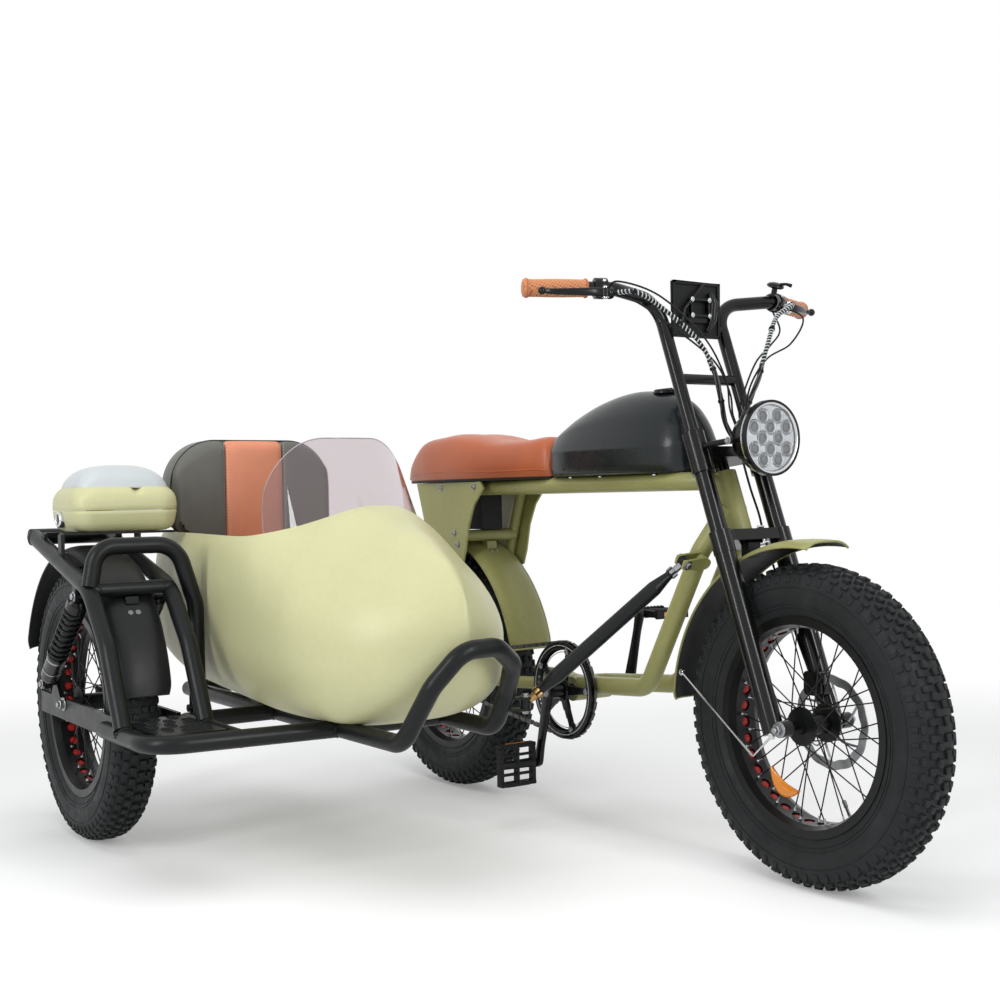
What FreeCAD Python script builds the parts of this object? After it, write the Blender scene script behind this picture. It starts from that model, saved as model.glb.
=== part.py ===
import FreeCAD, Part
import math
import os

V = FreeCAD.Vector

# Driving dimensions, in millimetres
# The model is laid out from the rear axle: x forward, y to the left, z up from the floor.

# Wheels, all three alike
TYRE_R = 300.0
TYRE_W = 100.0
TREAD_H = 6.0
LUGS = 36
LUG_L = 27.0
LUG_W = 17.0
SHOULDER_Y = 37.0
RIM_R = 204.0
RIM_W = 80.0
RIM_DEPTH = 22.0
FLANGE_H = 4.0
SPOKES = 36
RIM_HOLE_R = 10.5
SPOKE_R = 1.3
HUB_R = 19.0
HUB_FLANGE_R = 31.0
HUB_FLANGE_Y = 32.0
MOTOR_R = 68.0
HUB_END = 12.0
MOTOR_FLANGE_Y = 40.0
AXLE_R = 6.0
NUT_R = 10.0
DISC_R = 90.0
DISC_T = 2.0

# Places of the three wheels
WHEELBASE = 1240.0
SIDE_TRACK = 950.0
SIDE_LEAD = 0.0

# General fits
FIT = 0.3
PIN_FIT = 0.4
RUN_GAP = 8.0

# Steering head and fork
HEAD_ANGLE = 69.7
HEAD_Z_LOW = 652.0
HEAD_Z_TOP = 772.0
HEAD_TUBE_R = 25.0
FORK_LEAD = 26.0
AXLE_LEAD = 27.0
LEG_R = 20.5
STANCHION_R = 17.5
COLLAR_R = 22.0
CROWN_T = 22.0
COLLAR_H = 44.0
UPPER_CROWN_Z = 812.0
UPPER_COLLAR_H = 84.0
LEG_TOP_Z = 625.0

# Handlebar
RISER_R = 13.5
CROSS_R = 10.5
BAR_BEND_Z = 1122.0
BAR_RISE = 14.0
BAR_SPREAD = 215.0
BAR_HALF = 375.0
BAR_FORWARD = 28.0
BAR_SWEEP = 72.0
BAR_BEND_R = 55.0
GRIP_R = 17.0
GRIP_LEN = 125.0
LOW_CROSS_Z = 962.0
TOP_CROSS_Z = 1068.0
CABLE_R = 5.0

# Headlight
LAMP_R = 73.0
LAMP_DEPTH = 80.0
LAMP_X = 1147.0
LAMP_Z = 837.0

# Main frame
FRAME_TUBE_R = 18.5
LOOP_TUBE_R = 19.5
FRAME_HALF = 45.0
TOP_TUBE_Z = 758.0
TOP_TUBE_REAR = -40.0
LOOP_X = 816.0
LOOP_HALF = 38.0
LOOP_Z = 330.0
STAY_R = 14.0
STAY_HALF = 88.0
PLATE_T = 5.0
BRIDGE_X = 158.0
BRIDGE_Z = 641.0
PLATE_HALF = 93.0
BB_X = 557.0
BB_Z = 302.0
BB_R = 27.0
BB_HALF = 50.0

# Crank set and chain
CRANK_LEN = 165.0
CRANK_LEAN = 14.7
CRANK_Y = 115.0
CHAIN_Y = 67.0
RING_TEETH = 52
COG_TEETH = 16
RING_GAP = 0.6
COG_GAP = 1.8
CHAIN_PITCH = 12.7
CHAIN_PLATE_H = 4.5
CHAIN_HALF = 4.0
PEDAL_W = 96.0
PEDAL_L = 96.0
PEDAL_T = 22.0
PEDAL_PIN_R = 5.0
SPINDLE_R = 12.0

# Seat and tank
SEAT_REAR = -130.0
SEAT_FRONT = 500.0
SEAT_HALF = 106.0
SEAT_TOP = 893.0
TANK_REAR = 503.0
TANK_FRONT = 946.0
TANK_HALF = 98.0
TANK_TOP = 953.0

# Mudguards
GUARD_T = 2.5
FRONT_GUARD_R = 345.0
REAR_GUARD_R = 352.0
SIDE_GUARD_R = 345.0
GUARD_HALF = 56.0

# Sidecar chassis
RAIL_R = 17.5
RAIL_Z = 287.0
SWING_T = 8.0
SWING_GAP = 58.0
SWING_PIVOT_X = 348.0
PLATFORM_X = 620.0
RAIL_REAR = -165.0
CAGE_X = 250.0
CAGE_Z = 560.0
ARCH_Z = 648.0
RACK_X = -140.0
RACK_Z = 664.0
SHOCK_TOP_X = 185.0
SHOCK_TOP_Z = 545.0
SHOCK_LOW_X = -64.0
SHOCK_LOW_Z = 340.0
EYE_R = 10.0
BOLT_R = 5.0
EYE_HALF = 8.0
EAR_T = 5.0
STRUT_R = 15.0
STRUT_HIGH = V(1001.0, -102.0, 600.0)
STRUT_LOW = V(866.0, -392.0, 336.0)
HIGH_BOLT = V(0.87, 0, -0.5).normalize()
LOW_BOLT = V(0, 0, 1)
STAY_Z = 302.0

# Sidecar body
TUB_Y = SIDE_TRACK - 395.0
TUB_HALF = 232.0
TUB_RAIL_OUT = TUB_Y + 110.0
TUB_RAIL_IN = TUB_Y - 125.0
TUB_WALL = 4.0
TUB_UPPER = 0.66
NOSE_UPPER = 1.02
TUB_LOWER = 0.66
TUB_WAIST = 0.42
TUB_FLOOR = 300.0
TUB_RIM = 668.0
COWL_TOP = 716.0
COWL_X = 600.0
NOSE_X = 928.0
NOSE_Z = 466.0
TAIL_X = -170.0
BENCH_Z = 400.0
SCREEN_LOW = 600.0
SCREEN_TOP = 864.0
SCREEN_LEAN = 52.0
SCREEN_ROUND = 138.0
SCREEN_HALF = 194.0
SCREEN_BACK_X = 464.0
SCREEN_FRONT_X = 604.0
SCREEN_THICK = 3.0
BACK_TOP = 881.0
BACK_HALF = 203.0
BACK_ROUND = 112.0

# Tail box
BOX_L = 200.0
BOX_W = 240.0
BOX_Y = SIDE_TRACK - 55.0
BOX_BOTTOM = RACK_Z + 11.0
BOX_SEAM = BOX_BOTTOM + 46.0
BOX_TOP = BOX_SEAM + 57.0
BOX_WALL = 4.0
BOX_ROUND = 42.0
PAD_T = 46.0
SLAT_X = 62.0
SLAT_W = 30.0
SLAT_T = 5.0
HINGE_R = 4.0
HINGE_PIN_R = 1.6

# The part's own origin is under the middle of its outline box
SIDE_GUARD_REAR = SIDE_LEAD - (SIDE_GUARD_R + GUARD_T) * math.cos(math.radians(17.0))
SWING_Y_OUT = SIDE_TRACK + SWING_GAP + SWING_T
CAGE_Y_OUT = SWING_Y_OUT + RAIL_R + FIT
CAGE_Y_IN = 2.0 * SIDE_TRACK - CAGE_Y_OUT
ORIGIN_X = (WHEELBASE + TYRE_R + SIDE_GUARD_REAR) / 2.0
ORIGIN_Y = (BAR_HALF - (CAGE_Y_OUT + RAIL_R)) / 2.0

RAKE = math.radians(HEAD_ANGLE)
HEAD_UP = V(-math.cos(RAKE), 0, math.sin(RAKE))
HEAD_FORE = V(math.sin(RAKE), 0, math.cos(RAKE))
AXLE_FRONT = V(WHEELBASE, 0, TYRE_R)
HEAD_BASE = AXLE_FRONT - HEAD_FORE * (FORK_LEAD + AXLE_LEAD)
FORK_HALF = TYRE_W / 2.0 + RUN_GAP + LEG_R


def head_point(z, lead=0.0, y=0.0):
    # A point at height z on the line that runs parallel to the steering axis, lead mm ahead of it.
    base = HEAD_BASE + HEAD_FORE * lead
    along = (z - base.z) / HEAD_UP.z
    return base + HEAD_UP * along + V(0, y, 0)


def bend_path(points, radius):
    # Straight runs joined by tangent arcs.
    pts = [V(*p) if isinstance(p, tuple) else p for p in points]
    edges = []
    last = pts[0]
    for i in range(1, len(pts) - 1):
        before = pts[i] - pts[i - 1]
        after = pts[i + 1] - pts[i]
        into = V(before).normalize()
        out = V(after).normalize()
        turn = into.getAngle(out)
        if turn < 1e-3:
            continue
        reach = radius * math.tan(turn / 2.0)
        room = 0.46 * min(before.Length, after.Length)
        reach = min(reach, room)
        bend = reach / math.tan(turn / 2.0)
        a = pts[i] - into * reach
        b = pts[i] + out * reach
        centre = pts[i] + (out - into).normalize() * (bend / math.cos(turn / 2.0))
        mid = centre + (pts[i] - centre).normalize() * bend
        edges.append(Part.LineSegment(last, a).toShape())
        edges.append(Part.Arc(a, mid, b).toShape())
        last = b
    edges.append(Part.LineSegment(last, pts[-1]).toShape())
    return Part.Wire(edges)


def tube(points, r, radius=60.0):
    pts = [V(*p) if isinstance(p, tuple) else p for p in points]
    path = bend_path(pts, radius)
    section = Part.Wire(Part.makeCircle(r, pts[0], pts[1] - pts[0]))
    return path.makePipeShell([section], True, False)


def rod(a, b, r):
    a = V(*a) if isinstance(a, tuple) else a
    b = V(*b) if isinstance(b, tuple) else b
    return Part.makeCylinder(r, (b - a).Length, a, b - a)


def ring(centre, y0, y1, r_out, r_in=0.0):
    solid = Part.makeCylinder(r_out, y1 - y0, V(centre.x, y0, centre.z), V(0, 1, 0))
    if r_in > 0:
        bore = Part.makeCylinder(r_in, y1 - y0 + 2, V(centre.x, y0 - 1, centre.z), V(0, 1, 0))
        solid = solid.cut(bore)
    return solid


def fuse(shapes):
    whole = shapes[0]
    for shape in shapes[1:]:
        whole = whole.fuse(shape)
    return whole


def revolve_y(outline, centre):
    # outline holds (y, r) pairs about a wheel's axle.
    pts = [V(centre.x, centre.y + y, centre.z + r) for y, r in outline]
    face = Part.Face(Part.makePolygon(pts + [pts[0]]))
    return face.revolve(centre, V(0, 1, 0), 360)


def flat_y(outline, y, thick):
    # A plate in the x-z plane with its lower y face at y; outline is a closed wire maker's points.
    pts = [V(x, y, z) for x, z in outline]
    face = Part.Face(Part.makePolygon(pts + [pts[0]]))
    return face.extrude(V(0, thick, 0))


def rounded_box(x0, x1, y0, y1, z0, z1, r_plan, r_edge=0.0, r_low=0.0):
    solid = Part.makeBox(x1 - x0, y1 - y0, z1 - z0, V(x0, y0, z0))
    upright = [e for e in solid.Edges if abs(e.tangentAt(e.FirstParameter).z) > 0.99]
    solid = solid.makeFillet(r_plan, upright)
    for level, radius in ((z1, r_edge), (z0, r_low)):
        if radius > 0:
            rim = [e for e in solid.Edges if all(abs(v.Z - level) < 1e-6 for v in e.Vertexes)]
            solid = solid.makeFillet(radius, rim)
    return solid


def mirror(shape, y=0.0):
    return shape.mirror(V(0, y, 0), V(0, 1, 0))


# Wheels

def tyre_body(centre):
    half = TYRE_W / 2.0
    bead = RIM_W / 2.0 - FLANGE_H
    crown = TYRE_R - TREAD_H
    outline = [
        (-bead + FIT, RIM_R - FLANGE_H + FIT),
        (-bead + FIT, RIM_R + FIT),
        (-RIM_W / 2.0, RIM_R + 4 * FIT),
        (-half * 0.96, RIM_R + 18),
        (-half, RIM_R + 38),
        (-half * 0.97, RIM_R + 56),
        (-half * 0.86, crown - 14),
        (-half * 0.60, crown - 4),
        (-half * 0.24, crown),
    ]
    other = [(-y, r) for y, r in reversed(outline)]
    return revolve_y(outline + other, centre)


def lug(angle, y, length, width, top, lean=0.0):
    # One block of the tread: length round the tyre, width across it, its face turned outwards by lean.
    deep = 2.2 * TREAD_H
    block = Part.makeBox(length, width, deep, V(-length / 2, -width / 2, -deep))
    block.rotate(V(0, 0, 0), V(1, 0, 0), lean)
    block.translate(V(0, y, top))
    block.rotate(V(0, 0, 0), V(0, 1, 0), angle)
    return block


def tread():
    blocks = []
    step = 360.0 / LUGS
    for i in range(LUGS):
        for side in (-1, 1):
            blocks.append(lug(step * (i + 0.25 * side), side * SHOULDER_Y, LUG_L, LUG_W, TYRE_R - 7.0, -24.0 * side))
        blocks.append(lug(step * (i + 0.5), 0, LUG_L * 0.9, LUG_W * 1.7, TYRE_R))
    return blocks


def make_tyre():
    # One tyre about the origin, with its lugs fused to the carcass.
    return tyre_body(V(0, 0, 0)).multiFuse(tread())


def rim(centre):
    half = RIM_W / 2.0
    top = RIM_R - FLANGE_H
    low = RIM_R - RIM_DEPTH
    outline = [
        (-half, low + 6),
        (-half, RIM_R),
        (-half + FLANGE_H, RIM_R),
        (-half + FLANGE_H, top),
        (half - FLANGE_H, top),
        (half - FLANGE_H, RIM_R),
        (half, RIM_R),
        (half, low + 6),
        (half * 0.62, low),
        (-half * 0.62, low),
    ]
    band = revolve_y(outline, centre)
    holes = []
    for i in range(SPOKES):
        a = 2 * math.pi * (i + 0.5) / SPOKES
        out = V(math.cos(a), 0, math.sin(a))
        holes.append(rod(centre + out * (low - 4.0), centre + out * (RIM_R + 4.0), RIM_HOLE_R))
    return band.cut(Part.makeCompound(holes))


def spokes(centre, flange_r, flange_y, cross):
    rods = []
    reach = RIM_R - RIM_DEPTH - FIT
    for i in range(SPOKES):
        side = 1 if i % 2 else -1
        lean = cross if (i // 2) % 2 else -cross
        at_rim = 2 * math.pi * i / SPOKES
        at_hub = at_rim + math.radians(lean)
        a = centre + V(flange_r * math.cos(at_hub), side * flange_y, flange_r * math.sin(at_hub))
        b = centre + V(reach * math.cos(at_rim), side * 8.0, reach * math.sin(at_rim))
        rods.append(rod(a, b, SPOKE_R))
    return rods


def hub(centre, body_r, flange_r, flange_y, axle_half, cross=52.0, extra=()):
    outline = [
        (-flange_y - HUB_END, 0), (-flange_y - HUB_END, body_r * 0.7), (-flange_y - 3, body_r * 0.8),
        (-flange_y - 2, flange_r + 5), (-flange_y + 2, flange_r + 5), (-flange_y + 6, body_r),
        (flange_y - 6, body_r), (flange_y - 2, flange_r + 5), (flange_y + 2, flange_r + 5),
        (flange_y + 3, body_r * 0.8), (flange_y + HUB_END, body_r * 0.7), (flange_y + HUB_END, 0),
    ]
    barrel = revolve_y(outline, centre)
    axle = ring(centre, centre.y - axle_half, centre.y + axle_half, AXLE_R)
    body = fuse([barrel, axle] + list(extra))
    return body.multiFuse(spokes(centre, flange_r, flange_y, cross))


def brake_disc(centre, y):
    disc = ring(centre, centre.y + y, centre.y + y + DISC_T, DISC_R, AXLE_R + FIT)
    cuts = []
    for i in range(6):
        a = 2 * math.pi * i / 6
        at = centre + V(DISC_R * 0.5 * math.cos(a), 0, DISC_R * 0.5 * math.sin(a))
        cuts.append(ring(at, centre.y + y - 1, centre.y + y + DISC_T + 1, DISC_R * 0.2))
    return disc.cut(Part.makeCompound(cuts))


def rear_cog(centre):
    tip = pitch_radius(COG_TEETH) - CHAIN_PLATE_H - COG_GAP
    cog = ring(centre, -CHAIN_Y - 1.0, -CHAIN_Y + 1.0, tip)
    body = ring(centre, -CHAIN_Y - 3.0, -MOTOR_FLANGE_Y - HUB_END + 1.0, tip - 7.0)
    return [cog, body]


def caliper(axle, at, disc_y, outer_y):
    # A brake body over the disc's edge, reaching out to the leg or stay at outer_y.
    inner_y = disc_y - 6.0
    body = Part.makeBox(44.0, outer_y - inner_y, 46.0, V(axle.x + at.x - 22.0, inner_y, axle.z + at.z - 23.0))
    upright = [e for e in body.Edges if abs(e.tangentAt(e.FirstParameter).y) > 0.99]
    body = body.makeFillet(9.0, upright)
    return body.cut(ring(axle, disc_y - 1.6, disc_y + DISC_T + 1.6, DISC_R + 3.0))


# Fork and handlebar

def fork():
    parts = []
    for side in (-1, 1):
        y = side * FORK_HALF
        low = head_point(TYRE_R, FORK_LEAD, y)
        foot = low - HEAD_UP * 12.0
        leg_top = head_point(LEG_TOP_Z, FORK_LEAD, y)
        shoulder = head_point(UPPER_CROWN_Z + UPPER_COLLAR_H / 2.0, FORK_LEAD, y)
        parts.append(rod(foot, leg_top, LEG_R))
        parts.append(rod(leg_top - HEAD_UP * 20, shoulder, STANCHION_R))
        lower_mid = head_point((HEAD_Z_LOW + LEG_TOP_Z) / 2.0, FORK_LEAD, y)
        upper_mid = head_point(UPPER_CROWN_Z, FORK_LEAD, y)
        parts.append(rod(lower_mid - HEAD_UP * COLLAR_H / 2, lower_mid + HEAD_UP * COLLAR_H / 2, COLLAR_R))
        half = UPPER_COLLAR_H / 2.0
        parts.append(rod(upper_mid - HEAD_UP * half, upper_mid + HEAD_UP * half, COLLAR_R))
        lug = rod(low + V(0, 0, 0), AXLE_FRONT + V(0, y, 0), 12.0)
        lug = lug.common(ring(low, y - LEG_R * 0.55, y + LEG_R * 0.55, 80.0))
        parts.append(lug)
        parts.append(ring(AXLE_FRONT, y - LEG_R * 0.55, y + LEG_R * 0.55, 15.0))
    for z in ((HEAD_Z_LOW + LEG_TOP_Z) / 2.0, UPPER_CROWN_Z - 12.0):
        mid = head_point(z, 0.0)
        reach = FORK_LEAD + COLLAR_R - 4.0
        plan = [(-20, -18), (FORK_LEAD - 14, -FORK_HALF), (FORK_LEAD + 12, -FORK_HALF), (reach, -FORK_HALF + 22),
                (reach, FORK_HALF - 22), (FORK_LEAD + 12, FORK_HALF), (FORK_LEAD - 14, FORK_HALF), (-20, 18)]
        pts = [V(a, b, -CROWN_T / 2.0) for a, b in plan]
        block = Part.Face(Part.makePolygon(pts + [pts[0]])).extrude(V(0, 0, CROWN_T))
        block.Placement = FreeCAD.Placement(mid, FreeCAD.Rotation(V(0, 1, 0), -(90.0 - HEAD_ANGLE)))
        parts.append(block)
    low = head_point((HEAD_Z_LOW + LEG_TOP_Z) / 2.0)
    top = head_point(UPPER_CROWN_Z)
    parts.append(rod(low, top, HEAD_TUBE_R - 11.0))
    parts.append(caliper(AXLE_FRONT, V(-40, 0, 69), HUB_FLANGE_Y + HUB_END, FORK_HALF - LEG_R * 0.6))
    whole = fuse(parts)
    bores = ring(AXLE_FRONT, -FORK_HALF - 30, FORK_HALF + 30, AXLE_R + PIN_FIT)
    return whole.cut(bores)


def handlebar():
    top_y = FORK_HALF
    shoulder = UPPER_CROWN_Z + UPPER_COLLAR_H / 2.0
    base_r = head_point(shoulder, FORK_LEAD, -top_y) + HEAD_UP * FIT
    bend = head_point(BAR_BEND_Z, FORK_LEAD, -top_y)
    spread = bend + V(BAR_FORWARD, -(BAR_SPREAD - top_y), BAR_RISE)
    end = spread + V(-BAR_SWEEP, -(BAR_HALF - BAR_SPREAD), 0)
    points = [base_r, bend, spread, end]
    side = tube(points, RISER_R, BAR_BEND_R)
    clear = tube(points, RISER_R + FIT, BAR_BEND_R)
    cross_low = head_point(LOW_CROSS_Z, FORK_LEAD)
    cross_top = head_point(TOP_CROSS_Z, FORK_LEAD)
    bars = [
        rod(cross_low + V(0, -top_y, 0), cross_low + V(0, top_y, 0), CROSS_R),
        rod(cross_top + V(0, -top_y, 0), cross_top + V(0, top_y, 0), CROSS_R),
    ]
    return fuse([side, mirror(side)] + bars), spread, end, clear


def grips(spread, end):
    both = []
    along = (end - spread).normalize()
    start = end - along * GRIP_LEN
    sleeve = rod(start, end + along * 4.0, GRIP_R)
    bore = rod(start - along, end + along * FIT, RISER_R + FIT)
    grip = sleeve.cut(bore)
    both = [grip, mirror(grip)]
    return Part.makeCompound(both)


def controls(spread, end, clear):
    along = (end - spread).normalize()
    seat_at = end - along * (GRIP_LEN + 26.0)
    clamp = rod(seat_at - along * 14, seat_at + along * 14, RISER_R + 7.0)
    body_at = seat_at + V(20, 0, -12)
    body = rod(body_at - along * 12, body_at + along * 22, 11.0)
    pivot = body_at + along * 10 + V(12, 0, 0)
    tip = pivot + along * 128.0 + V(6, 0, 2)
    lever = tube([pivot, pivot + along * 60 + V(8, 0, 0), tip], 5.0, 60.0)
    ball = Part.makeSphere(8.0, tip)
    right = fuse([clamp, body, lever, ball]).cut(clear)
    return Part.makeCompound([right, mirror(right)])


def cables(spread, end):
    # Two wrapped cable bundles from the controls to the back of the headlight.
    along = (end - spread).normalize()
    start = end - along * (GRIP_LEN + 38.0) + V(20, 0, -12)
    plug = V(LAMP_X - LAMP_DEPTH - FIT, -12.0, LAMP_Z + 4.0)
    route = [
        start + V(11.0 + FIT, 0, 0),
        start + V(52, 20, -4),
        V(1012, -150, 1090),
        V(1046, -88, 1022),
        V(1052, -52, 948),
        V(1040, -26, 884),
        V(1044, -12, LAMP_Z + 4.0),
        plug,
    ]
    right = tube(route, CABLE_R, 1000.0)
    return Part.makeCompound([right, mirror(right)])


def lamp():
    face = V(LAMP_X, 0, LAMP_Z)
    shell_pts = [
        (0, 0), (0, LAMP_R), (-10, LAMP_R), (-14, LAMP_R - 4), (-34, LAMP_R - 8),
        (-LAMP_DEPTH + 14, LAMP_R * 0.62), (-LAMP_DEPTH, LAMP_R * 0.34), (-LAMP_DEPTH, 0),
    ]
    pts = [face + V(x, 0, r) for x, r in shell_pts]
    solid = Part.Face(Part.makePolygon(pts + [pts[0]])).revolve(face, V(1, 0, 0), 360)
    recess = Part.makeCylinder(LAMP_R - 5, 8.0, face + V(-8.0, 0, 0), V(1, 0, 0))
    return solid.cut(recess)


def lamp_lens():
    face = V(LAMP_X, 0, LAMP_Z)
    plate = Part.makeCylinder(LAMP_R - 5 - FIT, 5.0, face + V(-8.0 + FIT, 0, 0), V(1, 0, 0))
    return plate


def lamp_bracket():
    # Two arms from the upper crown collars to the sides of the lamp shell.
    arms = []
    for side in (-1, 1):
        y = side * (FORK_HALF)
        at = head_point(LAMP_Z - 20, FORK_LEAD, y) + HEAD_FORE * (COLLAR_R + FIT)
        side_on = V(LAMP_X - 44.0, side * (LAMP_R - 4), LAMP_Z - 4)
        arms.append(tube([at, at + V(24, 0, 4), side_on, side_on + V(0, -side * 30, 0)], 6.0, 14.0))
    return arms


def display_plate():
    mid = head_point(TOP_CROSS_Z, FORK_LEAD)
    plate = Part.makeBox(6.0, 140.0, 112.0, V(mid.x + 42.0, -70.0, mid.z - 20.0))
    tray = Part.makeBox(42.0 - CROSS_R - FIT, 60.0, 12.0, V(mid.x + CROSS_R + FIT, -30.0, mid.z - 6.0))
    return fuse([plate, tray])


def guard(centre, radius, half, start, stop):
    # A crowned mudguard swept about the axle from start to stop, in degrees above the forward line.
    low = radius - 14.0
    outline = [
        (-half, low), (-half * 0.8, radius - 3), (0, radius), (half * 0.8, radius - 3), (half, low),
        (half - GUARD_T, low - 0.2), (half * 0.77, radius - 3 - GUARD_T), (0, radius - GUARD_T),
        (-half * 0.77, radius - 3 - GUARD_T), (-half + GUARD_T, low - 0.2),
    ]
    pts = [centre + V(r, y, 0) for y, r in outline]
    face = Part.Face(Part.makePolygon(pts + [pts[0]]))
    face.rotate(centre, V(0, 1, 0), -start)
    return face.revolve(centre, V(0, -1, 0), stop - start)


def front_guard():
    return guard(AXLE_FRONT, FRONT_GUARD_R, GUARD_HALF, 83.0, 177.0)


def guard_top(centre, radius, x):
    return centre.z + math.sqrt(radius * radius - (x - centre.x) ** 2)


def bracket(x, y, half, z_low, z_high):
    # A small upright block between a mudguard and the tube that carries it.
    return Part.makeBox(24.0, 2 * half, z_high - z_low, V(x - 12.0, y - half, z_low))


# Main frame

def dropout(side):
    centre = V(0, 0, TYRE_R)
    pts = [(-26, 268), (-26, 318), (0, 342), (40, 342), (60, 310), (60, 285), (20, 268)]
    y = side * STAY_HALF
    plate = flat_y([(x, z - 300 + TYRE_R) for x, z in pts], y - 4, 8)
    return plate.cut(ring(centre, y - 6, y + 6, AXLE_R + PIN_FIT))


def main_frame():
    parts = []
    head_low = head_point(HEAD_Z_LOW)
    head_top = head_point(HEAD_Z_TOP)
    for side in (-1, 1):
        y = side * FRAME_HALF
        front = head_point(TOP_TUBE_Z)
        near_head = V(front.x - 70, y, TOP_TUBE_Z)
        into_head = V(front.x, side * 8.0, TOP_TUBE_Z)
        parts.append(tube([(TOP_TUBE_REAR, y, TOP_TUBE_Z), near_head, into_head], FRAME_TUBE_R, 60.0))
        down_top = head_point(HEAD_Z_LOW + 52)
        loop = [
            V(down_top.x - 2, side * 12.0, down_top.z),
            V(down_top.x - 48, y, down_top.z - 86),
            V(LOOP_X, y, LOOP_Z),
            V(BB_X + 40, side * LOOP_HALF, BB_Z + 12),
            V(BB_X - 6, side * 26.0, BB_Z + 8),
        ]
        parts.append(tube(loop, LOOP_TUBE_R, 60.0))
        stay = [
            V(BB_X, side * 30.0, BB_Z + 4),
            V(BB_X - 107, side * 44.0, BB_Z + 2),
            V(BB_X - 207, side * STAY_HALF, STAY_Z),
            V(50, side * STAY_HALF, STAY_Z),
        ]
        parts.append(tube(stay, STAY_R, 80.0))
        seat_stay = [
            V(196, side * (PLATE_HALF - PLATE_T - STAY_R), TOP_TUBE_Z - 4),
            V(150, side * (PLATE_HALF - PLATE_T - STAY_R), 636),
            V(122, side * (PLATE_HALF - PLATE_T - STAY_R), 556),
            V(20, side * STAY_HALF, TYRE_R + 30),
        ]
        parts.append(tube(seat_stay, STAY_R, 120.0))
        parts.append(dropout(side))
    parts.append(rod(head_low, head_top, HEAD_TUBE_R))
    parts.extend(clevis_ears(STRUT_HIGH, HIGH_BOLT, V(STRUT_HIGH.x, -FRAME_HALF - 12, STRUT_HIGH.z)))
    lug = V(STRUT_HIGH.x, -FRAME_HALF - 10, STRUT_HIGH.z)
    parts.append(rod(lug + HIGH_BOLT * (EYE_HALF + FIT + EAR_T), lug - HIGH_BOLT * 26, 12.0))
    parts.append(ring(V(BB_X, 0, BB_Z), -BB_HALF, BB_HALF, BB_R))
    parts.append(caliper(V(0, 0, TYRE_R), V(76, 0, 32), MOTOR_FLANGE_Y + HUB_END, STAY_HALF))
    half = PLATE_HALF - PLATE_T - STAY_R
    parts.append(rod((BRIDGE_X, -half, BRIDGE_Z), (BRIDGE_X, half, BRIDGE_Z), STAY_R))
    for x in (TOP_TUBE_REAR + 20, 190):
        parts.append(rod((x, -half, TOP_TUBE_Z), (x, half, TOP_TUBE_Z), 14.0))
    whole = fuse(parts)
    steerer = rod(head_low - HEAD_UP * 10, head_top + HEAD_UP * 10, HEAD_TUBE_R - 11.0 + PIN_FIT)
    shaft = ring(V(BB_X, 0, BB_Z), -BB_HALF - 12, BB_HALF + 12, SPINDLE_R + PIN_FIT)
    return whole.cut(Part.makeCompound([steerer, shaft]))


def side_plates():
    outline = [(-33, 772), (262, 772), (275, 756), (232, 715), (206, 665), (190, 600), (176, 566),
               (150, 556), (110, 566), (60, 600), (13, 640)]
    right = flat_y(outline, -PLATE_HALF - FIT, PLATE_T)
    return Part.makeCompound([right, mirror(right)])


def superellipse(x, y, half, low, high, upper, lower, waist=0.5, count=24):
    # A rounded outline across x; upper and lower are the powers of its two halves, waist where it is widest.
    mid = low + (high - low) * waist
    pts = []
    for i in range(count):
        a = 2 * math.pi * i / count
        c = math.cos(a)
        s = math.sin(a)
        power = upper if s > 0 else lower
        tall = high - mid if s > 0 else mid - low
        dy = half * math.copysign(abs(c) ** power, c)
        dz = tall * math.copysign(abs(s) ** power, s)
        pts.append(V(x, y + dy, mid + dz))
    curve = Part.BSplineCurve()
    curve.interpolate(pts, PeriodicFlag=True)
    return Part.Wire(curve.toShape())


def domed(x, half, base, top, profile):
    # A flat-bottomed outline across x; profile holds shares of the half width and of the height.
    rise = [V(x, -half * wide, base + (top - base) * tall) for wide, tall in profile]
    pts = rise + [V(x, -p.y, p.z) for p in reversed(rise[:-1])]
    curve = Part.BSplineCurve()
    curve.interpolate(pts)
    return Part.Wire([curve.toShape(), Part.LineSegment(pts[-1], pts[0]).toShape()])


def loft_domed(rows, base, profile):
    return Part.makeLoft([domed(x, half, base, top, profile) for x, half, top in rows], True, False, False, 3)


def tank():
    base = TOP_TUBE_Z + FRAME_TUBE_R + FIT
    crown = TANK_TOP
    rows = [(TANK_REAR, 46, crown - 105), (TANK_REAR + 12, 66, crown - 86), (TANK_REAR + 40, 82, crown - 62),
            (TANK_REAR + 95, 94, crown - 34), (TANK_REAR + 170, TANK_HALF, crown - 12),
            (TANK_REAR + 250, TANK_HALF, crown), (TANK_REAR + 330, 91, crown - 5),
            (TANK_REAR + 390, 77, crown - 22), (TANK_REAR + 428, 58, crown - 60), (TANK_FRONT, 40, crown - 108)]
    profile = [(0.84, 0.0), (0.95, 0.12), (1.0, 0.26), (0.965, 0.44), (0.84, 0.68), (0.60, 0.88), (0.30, 0.975),
               (0.0, 1.0)]
    return loft_domed(rows, base, profile)


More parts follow.
